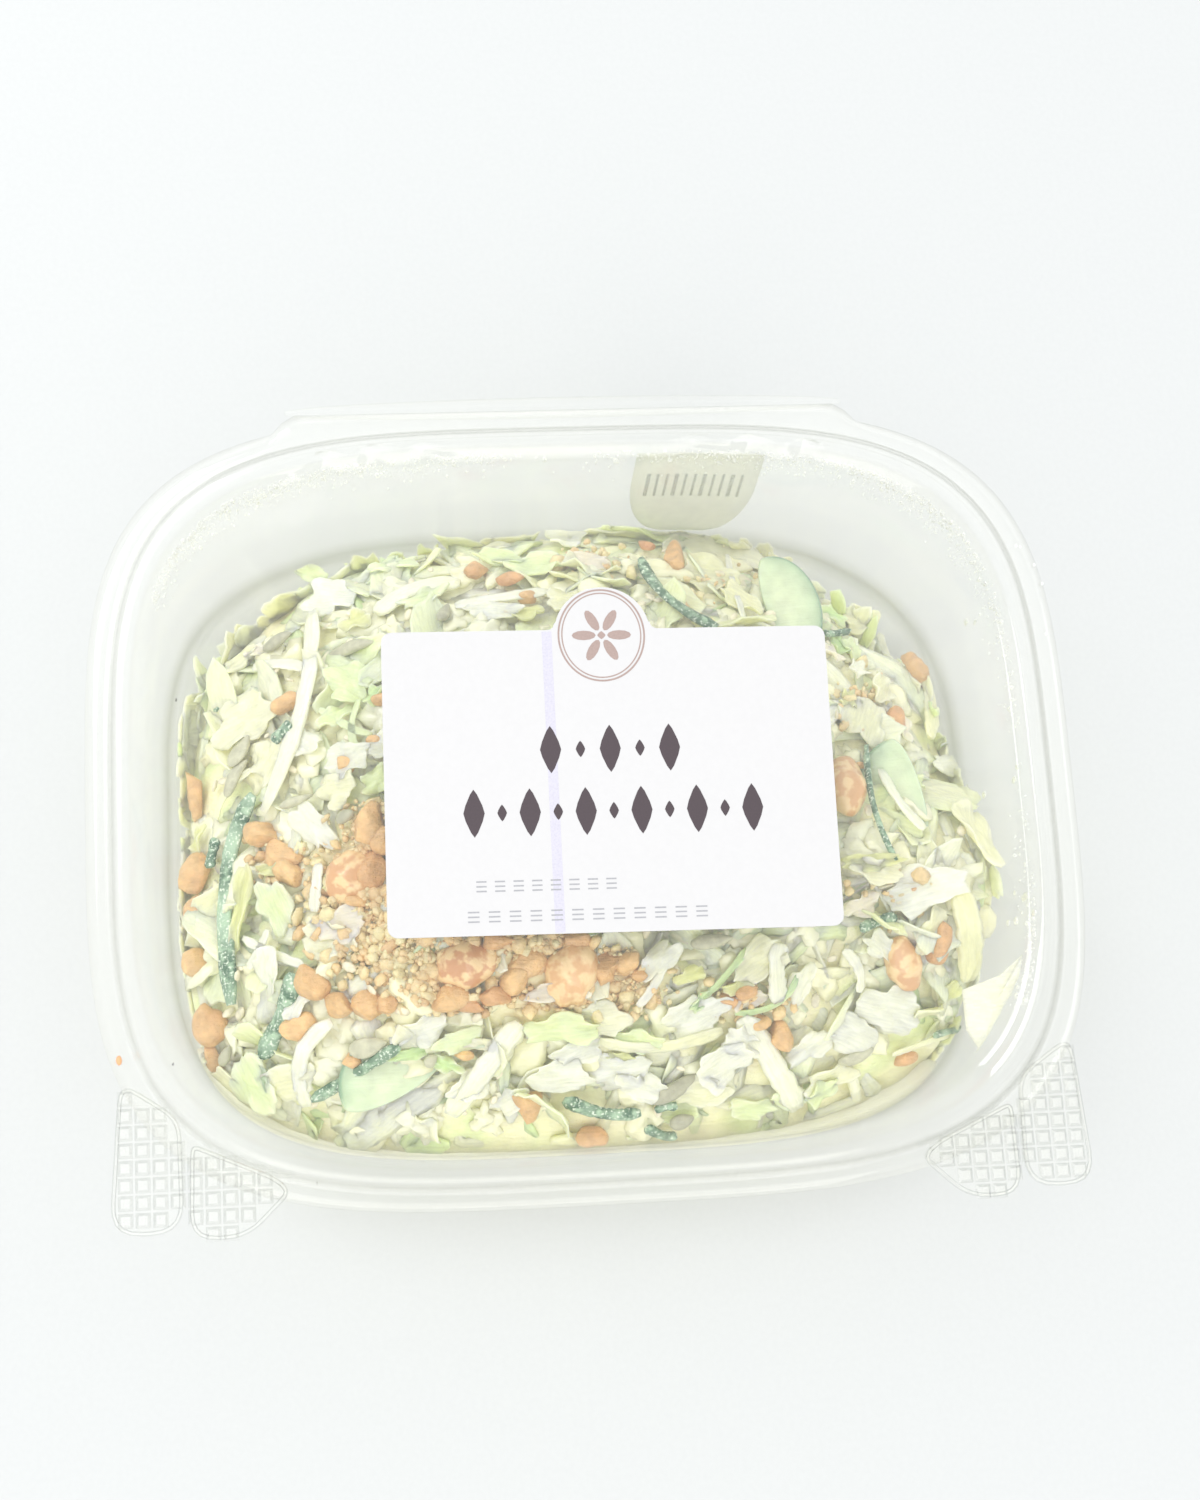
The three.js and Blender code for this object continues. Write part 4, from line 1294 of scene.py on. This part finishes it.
def ball(around=14, rows=9):
    """A unit ball as rings from pole to pole, with its faces."""
    tilt = np.linspace(0.06, np.pi - 0.06, rows)
    turn = 2 * np.pi * np.arange(around) / around
    z = np.repeat(-np.cos(tilt), around)
    r = np.repeat(np.sin(tilt), around)
    points = np.column_stack([r * np.tile(np.cos(turn), rows), r * np.tile(np.sin(turn), rows), z])
    return points, ring_faces(rows, around)


def lumpy(points, size, roughness):
    """Pushes points in and out by a few random waves, for a knobbly shape."""
    push = np.zeros(len(points))
    for _ in range(5):
        push += np.sin(points @ rng.normal(0, 1.6 / size, 3) + rng.uniform(0, 6))
    return points * (1 + roughness * push[:, None] / 5)


def chip(points, cuts, depth):
    """Breaks flat faces into a rounded shape, on random sides."""
    for _ in range(cuts):
        way = unit(rng.normal(0, 1, 3))
        reach = points @ way
        limit = reach.max() * rng.uniform(1 - depth, 1)
        points = points - way * np.maximum(reach - limit, 0)[:, None]
    return points


def make_nut_halves():
    """Sugared peanut halves and pieces: domed backs and flat faces with a broken edge."""
    parts = Parts()
    shape, faces = ball(26, 16)
    for place, half_length, half_width, turn, roast in shown_things(SHOWN_NUTS):
        nut = np.sign(shape) * np.abs(shape) ** 0.86 * (half_length, half_width, min(half_width, 2.6))
        nut[:, 1] *= 1 - 0.16 * nut[:, 0] / half_length
        nut[:, 2] += 0.35 * np.cos(nut[:, 1] / half_width * 2.6) - 0.2
        nut = lumpy(chip(lumpy(nut, 2.2, 0.3), 6, 0.42), 1.1, 0.07)
        up = tilted_normal(place[0], place[1], 0.16)
        tint = blend_tint("nut", "roasted", roast) * rng.uniform(0.95, 1.05)
        # Each nut is darker towards its underside and in a wavy band across it.
        dark = np.clip(0.5 - nut[:, 2] / half_width + 0.4 * np.sin(nut[:, 0] * 1.3 + turn), 0, 1) * 0.35
        tint = tint + (TINTS["roasted"] - tint) * dark[:, None]
        set_down(parts, nut, faces, place, up, picture_heading(turn, up), tint)
    return parts


# The whole nuts: length and width in pixels, turn across the photograph, and roast
WHOLE_NUTS = {
    "nut_1": (66, 45, 15, 0.95),
    "nut_2": (68, 52, 70, 0.5),
    "nut_3": (56, 46, 60, 0.75),
    "nut_4": (74, 42, 82, 0.6),
    "nut_5": (62, 37, -68, 0.7),
}


def node_middle(node):
    """The middle of a node's box, in millimetres."""
    low, high = (np.array(corner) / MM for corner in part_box(node))
    return (low + high) / 2


def make_whole_nuts():
    """The large candied nuts, each where its solid is, with sugar clinging in patches."""
    parts = Parts()
    shape, faces = ball(30, 18)
    for node, (length, width, turn, roast) in WHOLE_NUTS.items():
        place = node_middle(node) + (0, 0, 2.6)
        half_length, half_width = length / 2 / PIXELS_PER_MM, width / 2 / PIXELS_PER_MM
        nut = np.sign(shape) * np.abs(shape) ** 0.9 * (half_length, half_width, half_width * 0.8)
        nut = nut * (1 + 0.05 * np.cos(nut[:, 0:1] / half_length * 5))
        nut = lumpy(nut, 1.9, 0.13)
        up = heap_normal(place[0], place[1])
        tint = blend_tint("nut", "roasted", roast)
        set_down(parts, nut, faces, place, up, picture_heading(turn, up), tint)
    return parts


def make_crumbs():
    """Golden praline crumbs, thick in front of and beside the label."""
    parts = Parts()
    shape, faces = ball(7, 5)
    for px, py, spread_x, spread_y, thickness in CRUMB_PATCHES:
        count = int(thickness * CRUMBS_PER_THICKNESS)
        spots = px + rng.normal(0, spread_x, count), py + rng.normal(0, spread_y, count)
        places = on_heap(*spots, CRUMB_LIFT)
        for place in places:
            size = rng.uniform(0.3, 1.0) if rng.random() < 0.86 else rng.uniform(1.0, 2.0)
            crumb = np.sign(shape) * np.abs(shape) ** 0.8 * size * rng.uniform(0.5, 1.2, 3)
            crumb = chip(lumpy(crumb, size * 0.8, 0.5), 3, 0.5)
            tint = blend_tint("sugar", "roasted", rng.random() ** 3 * 0.6)
            tint = tint + (TINTS["cream"] - tint) * rng.random() ** 1.5 * 0.7
            up = unit(rng.normal(0, 1, 3))
            heading = any_heading(up)
            set_down(parts, crumb, faces, place + (0, 0, rng.uniform(-1.1, 0.7)), up, heading, tint)
    return parts


def make_sesame():
    """Small pale seeds and flecks stuck in the dressing."""
    parts = Parts()
    shape, faces = ball(8, 6)
    for _ in range(STREWN["sesame"]):
        x, y = random_place(0.93)
        place = np.array([x, y, float(heap_height(x, y)) + rng.uniform(1.0, 3.6)])
        seed = shape * (1.5, 0.9, 0.5) * rng.uniform(0.6, 1.15)
        up = tilted_normal(x, y, 0.3)
        heading = any_heading(up)
        set_down(parts, seed, faces, place, up, heading, TINTS["sesame"] * rng.uniform(0.85, 1.05))
    return parts


def make_seeds():
    """Hulled pumpkin seeds: flat, pointed, a little bent."""
    parts = Parts()
    shape, faces = ball(20, 12)
    for place, half_length, half_width, turn in shown_things(SHOWN_SEEDS, SEED_LIFT):
        seed = shape * (half_length, half_width, 1.0)
        point = np.clip((seed[:, 0] / half_length + 1) / 2, 0, 1)
        seed[:, 1] *= 1.15 - 0.6 * point ** 2
        seed[:, 2] += 0.4 * np.sin(seed[:, 0] * 0.5 + turn)
        up = tilted_normal(place[0], place[1], 0.16)
        tint = TINTS["seed"] * rng.uniform(0.85, 1.3)
        set_down(parts, seed, faces, place, up, picture_heading(turn, up), tint)
    return parts


def make_pale_leaf():
    """The large white leaf that stands against the right wall near the front corner."""
    parts = Parts()
    corners = np.array(PALE_LEAF["corners"], dtype=float)
    around, shares = 42, [0.12, 0.4, 0.7, 0.9, 1.0]
    t = np.linspace(0, len(corners), around, endpoint=False)
    loop = np.vstack([corners, corners[:1]])
    outline = np.column_stack([np.interp(t, range(len(loop)), loop[:, k]) for k in (0, 1)])
    middle = outline.mean(axis=0)
    rows, tints = [], []
    for layer in (-1, 1):
        for share in shares[::-layer]:
            spots = middle + (outline - middle) * share
            climb = np.clip((PALE_LEAF["foot_row"] - spots[:, 1]) / PALE_LEAF["rows"], 0, 1)
            z = PALE_LEAF["foot"] + (PALE_LEAF["top"] - PALE_LEAF["foot"]) * climb
            z = z + 1.1 * share * np.sin(t * 2.1)
            rays = pixel_ray(spots[:, 0], spots[:, 1])
            place = CAM_PLACE + rays * ((z - CAM_PLACE[2]) / rays[:, 2])[:, None]
            place[:, 2] -= layer * 0.45 * (1.15 - share)
            rows.append(place)
            tints.append(np.tile(blend_tint("white", "cream", 0.25 * (1 - share)), (around, 1)))
    parts.add(keep_in_tub(np.concatenate(rows)), ring_faces(2 * len(shares), around), np.concatenate(tints))
    return parts


# The slices: radius in millimetres, rise of the skin as a share of it, and turn and tilt in degrees
SLICES = {
    "cucumber_1": {"radius": 11.5, "depth": 0.85, "turn": 28, "tilt": 8},
    "cucumber_2": {"radius": 11.5, "depth": 0.7, "turn": -75, "tilt": 12},
    "cucumber_3": {"radius": 14.0, "depth": 0.72, "turn": 98, "tilt": -16},
}


# Rings of a slice's underside: how far out, how low as a share of its thickness, and how dark the skin is
SLICE_UNDERSIDE = [
    (0.25, -0.5, 0.0), (0.6, -0.5, 0.0), (0.8, -0.5, 0.2), (0.92, -0.5, 0.45), (0.97, -0.46, 0.9),
    (1.0, -0.2, 1.0),
]


def slice_outline(radius, depth, steps=48):
    """A slice cut aslant: its skin follows the round side, and its cut side bulges less."""
    turn = 2 * np.pi * np.arange(steps) / steps
    rise = np.where(np.sin(turn) > 0, depth, 0.38 * depth) * np.sin(turn)
    return np.column_stack([np.cos(turn), rise]) * radius, np.clip(np.sin(turn) * 3 + 0.2, 0, 1)[:, None]


def make_slices():
    """Thick slices of cucumber: pale wet flesh, a paler core and dark skin on the round side."""
    parts = Parts()
    thick = 3.0
    for node, size in SLICES.items():
        outline, skin = slice_outline(size["radius"], size["depth"])
        rings, tints = [], []
        for grow, z, dark in SLICE_UNDERSIDE + [(grow, -z, dark) for grow, z, dark in SLICE_UNDERSIDE[::-1]]:
            rings.append(np.column_stack([outline * grow, np.full(len(outline), z * thick)]))
            flesh = blend_tint("flesh", "white", np.clip(0.05 + 0.4 * (1 - grow), 0, 1))
            tints.append(flesh + (TINTS["rind"] - flesh) * skin * dark)
        verts = np.concatenate(rings)
        tilt, turn = (math.radians(size[k]) for k in ("tilt", "turn"))
        spin = np.array(Matrix.Rotation(turn, 3, "Z") @ Matrix.Rotation(tilt, 3, "X"))
        verts = verts @ spin.T
        verts += node_middle(node) - (verts.max(axis=0) + verts.min(axis=0)) / 2 + (0, 0, 1.2)
        parts.add(keep_in_tub(verts), ring_faces(len(rings), len(outline)), np.concatenate(tints))
    return parts


def make_core():
    """The body of the heap under the loose pieces, with a lumpy dressed surface."""
    steps, rings = 260, 90
    turn = 2 * np.pi * np.arange(steps) / steps
    wide, deep = plan_way(turn)
    bearing = np.arctan2(deep, wide)
    pull, edge = heap_pull(bearing), heap_edge(bearing)
    wall_gap, base, shoulder = 1.5, 1.2, 1.5
    flank_rises = [0.0, 0.1, 0.25, 0.45, 0.7]

    def ring_at(z, share=1.0):
        return plan_spot(wide * pull * share, deep * pull * share, hollow_inset(z) + wall_gap)

    verts = []
    for rise in flank_rises:
        z = base + (edge - shoulder - base) * rise
        verts.append(np.column_stack([*ring_at(z), z]))
    tints = [np.tile(TINTS["dressing"], (steps * len(flank_rises), 1))]
    for share in 1 - (np.arange(rings) / rings) ** 1.15:
        x, y = ring_at(edge, share)
        knobs = 0.7 * np.sin(x / 1.9 + y / 2.7) * np.cos(y / 2.1 - x / 3.3)
        grit = 0.35 * np.sin(x * 1.7 + 2 * np.sin(y * 1.3)) * np.cos(y * 1.9 + 2 * np.sin(x * 1.1))
        praline = praline_cover(x, y)
        rise = 1.2 * knobs - 0.3 + praline * (2.8 + grit)
        verts.append(np.column_stack([x, y, heap_height(x, y) + rise]))
        # Painted shade: the dressing turns olive and darker in the hollows between the knobs, partly the
        # salad's own olive tone.
        dressed = blend_tint("dressing", "olive", np.clip(0.06 - 0.2 * knobs, 0, 0.25))
        patch = np.sin(x / 4.4 + 1.3 * np.sin(y / 5.0)) * np.cos(y / 3.9 - x / 9.0)
        dressed = dressed + (TINTS["pale_green"] - dressed) * np.clip(patch - 0.2, 0, 0.6)[:, None]
        dressed = dressed + (TINTS["tan"] - dressed) * np.clip(-patch - 0.4, 0, 0.35)[:, None]
        golden = blend_tint("sugar", "cream", np.clip(0.45 + grit, 0, 1))
        tints.append(dressed + (golden - dressed) * praline[:, None])
    parts = Parts()
    parts.add(np.concatenate(verts), ring_faces(rings + len(flank_rises), steps), np.concatenate(tints))
    return parts


# The pool's section: how far in from the wall, how high above its level, and 1 where it rests on the floor
POOL_SECTION = [
    (0.1, 13.0, 0.0), (0.5, 5.0, 0.0), (1.2, 0.12, 0.0), (4.0, 0.0, 0.0), (9.0, 0.1, 0.0), (1.0, 0.0, 1.0),
]


def make_pool():
    """Dressing that has run down and lies along the front of the tub's floor."""
    steps = 90
    turn = np.radians(np.linspace(POOL["from"], POOL["to"], steps))
    wide, deep = plan_way(turn)
    ends = np.sin(np.linspace(0.02, np.pi - 0.02, steps)) ** 0.4
    wall_gap, floor = 0.35, 1.4
    rings = []
    for inward, climb, at_floor in POOL_SECTION:
        z = (POOL["level"] * ends + climb) * (1 - at_floor) + floor * at_floor
        ripple = 1 + 0.3 * np.sin(turn * 9) * (inward > 2)
        inset = hollow_inset(z) + wall_gap + inward * ripple
        rings.append(np.column_stack([*plan_spot(wide, deep, inset), z]))
    verts = np.stack(rings, axis=1).reshape(-1, 3)
    parts = Parts()
    # The pool's paler tint is painted light that makes up for the shade it lies in.
    parts.add(keep_in_tub(verts, 0.3), ring_faces(steps, len(POOL_SECTION)), TINTS["pool"])
    return parts


def skin_material():
    """Cucumber skin: dark green, with blue-grey bloom in patches and pale specks painted on as glints of
    light.
    """
    n = Nodes("cucumber skin")
    tint = n.node("Attribute", attribute_name="tint").outputs["Color"]
    bloom = n.ramp(n.noise(0.55, 4.0), (0.47, (0, 0, 0)), (0.66, (1, 1, 1)))
    # Painted highlight: the pale specks stand for glints of light on the skin.
    specks = n.ramp(n.noise(1.7, 2.0), (0.56, (0, 0, 0)), (0.66, (0.8, 0.8, 0.8)))
    colour = n.mix("MIX", bloom, tint, (0.34, 0.50, 0.32))
    colour = n.mix("MIX", specks, colour, (0.78, 0.86, 0.70))
    inputs = {
        "Base Color": colour,
        "Roughness": 0.45,
        "Specular IOR Level": 0.3,
        "Normal": n.bump(n.noise(1.6, 4.0), 0.6, 0.4),
        "Coat Weight": 0.1,
        "Coat Roughness": 0.15,
    }
    return n.finish(n.node("BsdfPrincipled", inputs).outputs[0])


def make_salad():
    """The core of the heap and all the loose pieces on it, each kind one mesh."""
    leafy = tinted_material("cabbage", 0.4, 1.5, 0.3, mottle=0.09, wet=0.3, soft=0.7, fibre=0.1)
    dressed = tinted_material("dressed core", 0.4, 0.9, 0.7, mottle=0.14, wet=0.3, soft=0.5)
    nutty = tinted_material("nut half", 0.42, 1.6, 0.8, mottle=0.26, wet=0.15, soft=0.2)
    grainy = tinted_material("small seed", 0.42, 2.4, 0.3, mottle=0.25, wet=0.2)
    skin = skin_material()
    flesh = tinted_material("cucumber flesh", 0.2, 1.0, 0.25, mottle=0.16, wet=0.5, soft=0.4)
    creamy = tinted_material("dressing", 0.22, 0.5, 0.3, mottle=0.04, wet=0.5, soft=0.3)
    make_core().build("salad_core", dressed, "tub", "salad", ["coleslaw"])
    make_shreds().build("cabbage_shreds", leafy, "tub", "salad")
    make_clots().build("dressing_clots", creamy, "tub", "salad")
    make_leaves().build("cabbage_leaves", leafy, "tub", "salad")
    make_shown_leaves().build("large_leaves", leafy, "tub", "salad")
    make_wall_leaves().build("wall_leaves", leafy, "tub", "salad")
    make_ribs().build("cabbage_ribs", leafy, "tub", "salad")
    make_pale_leaf().build("pale_leaf", leafy, "tub", "salad")
    make_skin_strips().build("cucumber_skin", skin, "tub", "cucumber")
    make_seeds().build("pumpkin_seeds", grainy, "tub", "salad")
    make_sesame().build("sesame_seeds", grainy, "tub", "salad")
    make_nut_halves().build("nut_halves", nutty, "tub", "nut")
    make_crumbs().build("praline_crumbs", nutty, "tub", "nut")
    make_whole_nuts().build("whole_nuts", candied_material(), "tub", "nut", list(WHOLE_NUTS))
    make_slices().build("cucumber_slices", flesh, "tub", "cucumber", list(SLICES))
    make_pool().build("dressing_pool", creamy, "tub", "salad")


def candied_material():
    """Dark nut skin with pale sugar clinging in patches."""
    n = Nodes("candied nut")
    tint = n.node("Attribute", attribute_name="tint").outputs["Color"]
    patches = n.noise(0.42, 4.0)
    sugar = n.ramp(patches, (0.46, (0, 0, 0)), (0.56, (1, 1, 1)))
    colour = n.mix("MIX", sugar, tint, (0.80, 0.54, 0.25))
    inputs = {
        "Base Color": colour,
        "Roughness": 0.28,
        "Normal": n.bump(patches, 0.6, 0.5),
        "Coat Weight": 0.4,
        "Coat Roughness": 0.1,
    }
    return n.finish(n.node("BsdfPrincipled", inputs).outputs[0])


# Water and specks on the box
DROP_TINT = (0.75, 0.76, 0.74)


def make_condensation():
    """Fine drops on the inside of the tub's upper wall, thickest at the back."""
    parts = Parts()
    shape, faces = ball(6, 4)
    for _ in range(STREWN["drops"]):
        angle = rng.uniform(-0.45, 2.75)
        thick = math.sin(min(max(angle, 0.25), 2.6))
        depth = abs(rng.normal(0, 4.2)) + 1.0
        if rng.random() > 0.35 + 0.65 * thick:
            continue
        z = FLANGE + 1.0 - depth
        x, y = plan_spot(*plan_way(angle), wall_inset(z) + 0.05)
        size = rng.uniform(0.12, 0.32) if rng.random() < 0.95 else rng.uniform(0.35, 0.7)
        parts.add(shape * size + (x, y, z), faces)
    water = clear_sheet_material("water drops", 0.3, DROP_TINT)
    parts.build("condensation", water, "tub", "clear_plastic")


# Specks on the flange and the larger drops on the right wall, each at its pixel in the photograph, with
# its size, or a drop's width and height, in millimetres
ORANGE_SPECK = [(119, 1061, 0.8)]
DARK_SPECKS = [(173, 1064, 0.28), (176, 700, 0.3), (317, 1183, 0.2)]
PALE_SPECKS = [(1016, 546, 0.3), (1020, 547, 0.22), (1034, 565, 0.35), (1042, 584, 0.35), (1046, 634, 0.3)]
WALL_DROPS = [
    (966, 622, 0.8, 1.4), (975, 622, 0.6, 1.3), (1017, 767, 0.6, 1.2), (1014, 780, 0.8, 1.5),
    (984, 795, 0.8, 1.4), (1025, 897, 0.9, 2.6), (1034, 913, 0.8, 1.3), (1015, 893, 0.5, 1.1),
    (1008, 923, 0.7, 1.1), (1016, 921, 0.9, 1.1),
]


def on_plane(px, py, z):
    """Where the view through a pixel meets a level."""
    ray = pixel_ray(px, py)
    return CAM_PLACE + ray * ((z - CAM_PLACE[2]) / ray[2])


def on_wall(px, py):
    """Where the view through a pixel meets the inside of the tub's wall."""
    places = [on_plane(px, py, z) for z in np.linspace(10, FLANGE, 160)]
    misses = [abs(plan_share(p[0], p[1], wall_inset(p[2]) + 0.1) - 1) for p in places]
    return places[int(np.argmin(misses))]


def make_specks():
    """The few specks on the lid's flange, and the larger drops inside the wall."""
    shape, faces = ball(10, 7)
    top = LID_FLANGE + SHEET
    for name, colour, specks in (("orange crumb", (0.78, 0.36, 0.16), ORANGE_SPECK),
                                 ("dark specks", (0.08, 0.07, 0.06), DARK_SPECKS),
                                 ("pale specks", (0.95, 0.95, 0.93), PALE_SPECKS)):
        parts = Parts()
        for px, py, size in specks:
            lump = chip(shape * (size * 0.7, size * 1.2, size * 0.4), 3, 0.5)
            parts.add(lump + on_plane(px, py, top) + (0, 0, size * 0.3), faces)
        parts.build(name.replace(" ", "_"), paper_material(name, colour), "lid", "clear_plastic")
    drops = Parts()
    for px, py, wide, tall in WALL_DROPS:
        drops.add(shape * (wide * 0.5, wide, tall) + on_wall(px, py), faces)
    drops.build("wall_drops", clear_sheet_material("large drops", 0.35, DROP_TINT), "tub", "clear_plastic")


# Floor, lights and camera
def make_floor():
    """A plain pale floor, which is stage and not part of the object."""
    mesh = bpy.data.meshes.new("floor")
    reach = 3.0
    corners = [(-reach, -reach, 0), (reach, -reach, 0), (reach, reach, 0), (-reach, reach, 0)]
    mesh.from_pydata(corners, [], [(0, 1, 2, 3)])
    mesh.materials.append(paper_material("floor", (0.55, 0.56, 0.555), 0.5))
    floor = bpy.data.objects.new("floor", mesh)
    bpy.context.scene.collection.objects.link(floor)


def add_light(name, place, aim, size, power, colour):
    """A rectangular light at a place, in metres, turned to its aim."""
    light = bpy.data.lights.new(name, "AREA")
    light.shape = "RECTANGLE"
    light.size, light.size_y = size
    light.energy = power
    light.color = colour
    lamp = bpy.data.objects.new(name, light)
    bpy.context.scene.collection.objects.link(lamp)
    back = unit(np.array(place, dtype=float) - np.array(aim, dtype=float))
    side = unit(np.cross((0.0, 0.0, 1.0), back) + (1e-6, 0, 0))
    turn = Matrix(np.column_stack([side, np.cross(back, side), back]).tolist()).to_4x4()
    turn.translation = place
    lamp.matrix_world = turn


def make_lights():
    """Even daylight all round, a cool window at the back left and a warm fill at the front."""
    world = bpy.data.worlds.new("studio")
    bpy.context.scene.world = world
    world.use_nodes = True
    sky = world.node_tree.nodes["Background"].inputs
    sky["Color"].default_value = (0.965, 0.985, 1.0, 1.0)
    sky["Strength"].default_value = 1.3
    add_light("window", (-0.9, 0.9, 1.3), (0, 0, 0.03), (1.2, 0.9), 12, (0.97, 0.99, 1.0))
    add_light("fill", (-0.1, -1.1, 1.2), (0, 0, 0.03), (1.2, 1.2), 8, (1.0, 0.975, 0.94))


def make_camera():
    """The camera that the photograph was fitted with."""
    data = bpy.data.cameras.new("camera")
    data.sensor_fit = "HORIZONTAL"
    data.sensor_width = 36.0
    data.lens = data.sensor_width * FOCAL_PIXELS / PHOTO_WIDTH
    data.clip_start = 0.01
    camera = bpy.data.objects.new("camera", data)
    bpy.context.scene.collection.objects.link(camera)
    turn = Matrix(np.column_stack([CAM_RIGHT, CAM_UP, CAM_BACK]).tolist()).to_4x4()
    turn.translation = (CAM_PLACE * MM).tolist()
    camera.matrix_world = turn
    bpy.context.scene.camera = camera


def main():
    """Builds the stage and the object."""
    make_camera()
    make_lights()
    make_floor()
    glossy = clear_sheet_material("lid sheet", edge=(0.46, 0.46, 0.41), edge_from=0.28,
                                  gloss_low=0.01, gloss_high=0.12)
    walls = clear_sheet_material("tub sheet", 0.03, (0.80, 0.80, 0.74),
                                 gloss_low=0.01, gloss_high=0.05, roughness=0.14)
    waffle = clear_sheet_material("tabs", 0.03, (0.50, 0.52, 0.52), edge_from=0.02,
                                  gloss_low=0.03, gloss_high=0.2, roughness=0.1)
    make_tub(walls, waffle)
    make_lid(glossy, waffle)
    make_label()
    make_sticker()
    make_salad()
    make_condensation()
    make_specks()
    scene = bpy.context.scene
    scene.view_settings.view_transform = "Standard"
    scene.view_settings.gamma = 1.18
    scene.cycles.transparent_max_bounces = 24


main()
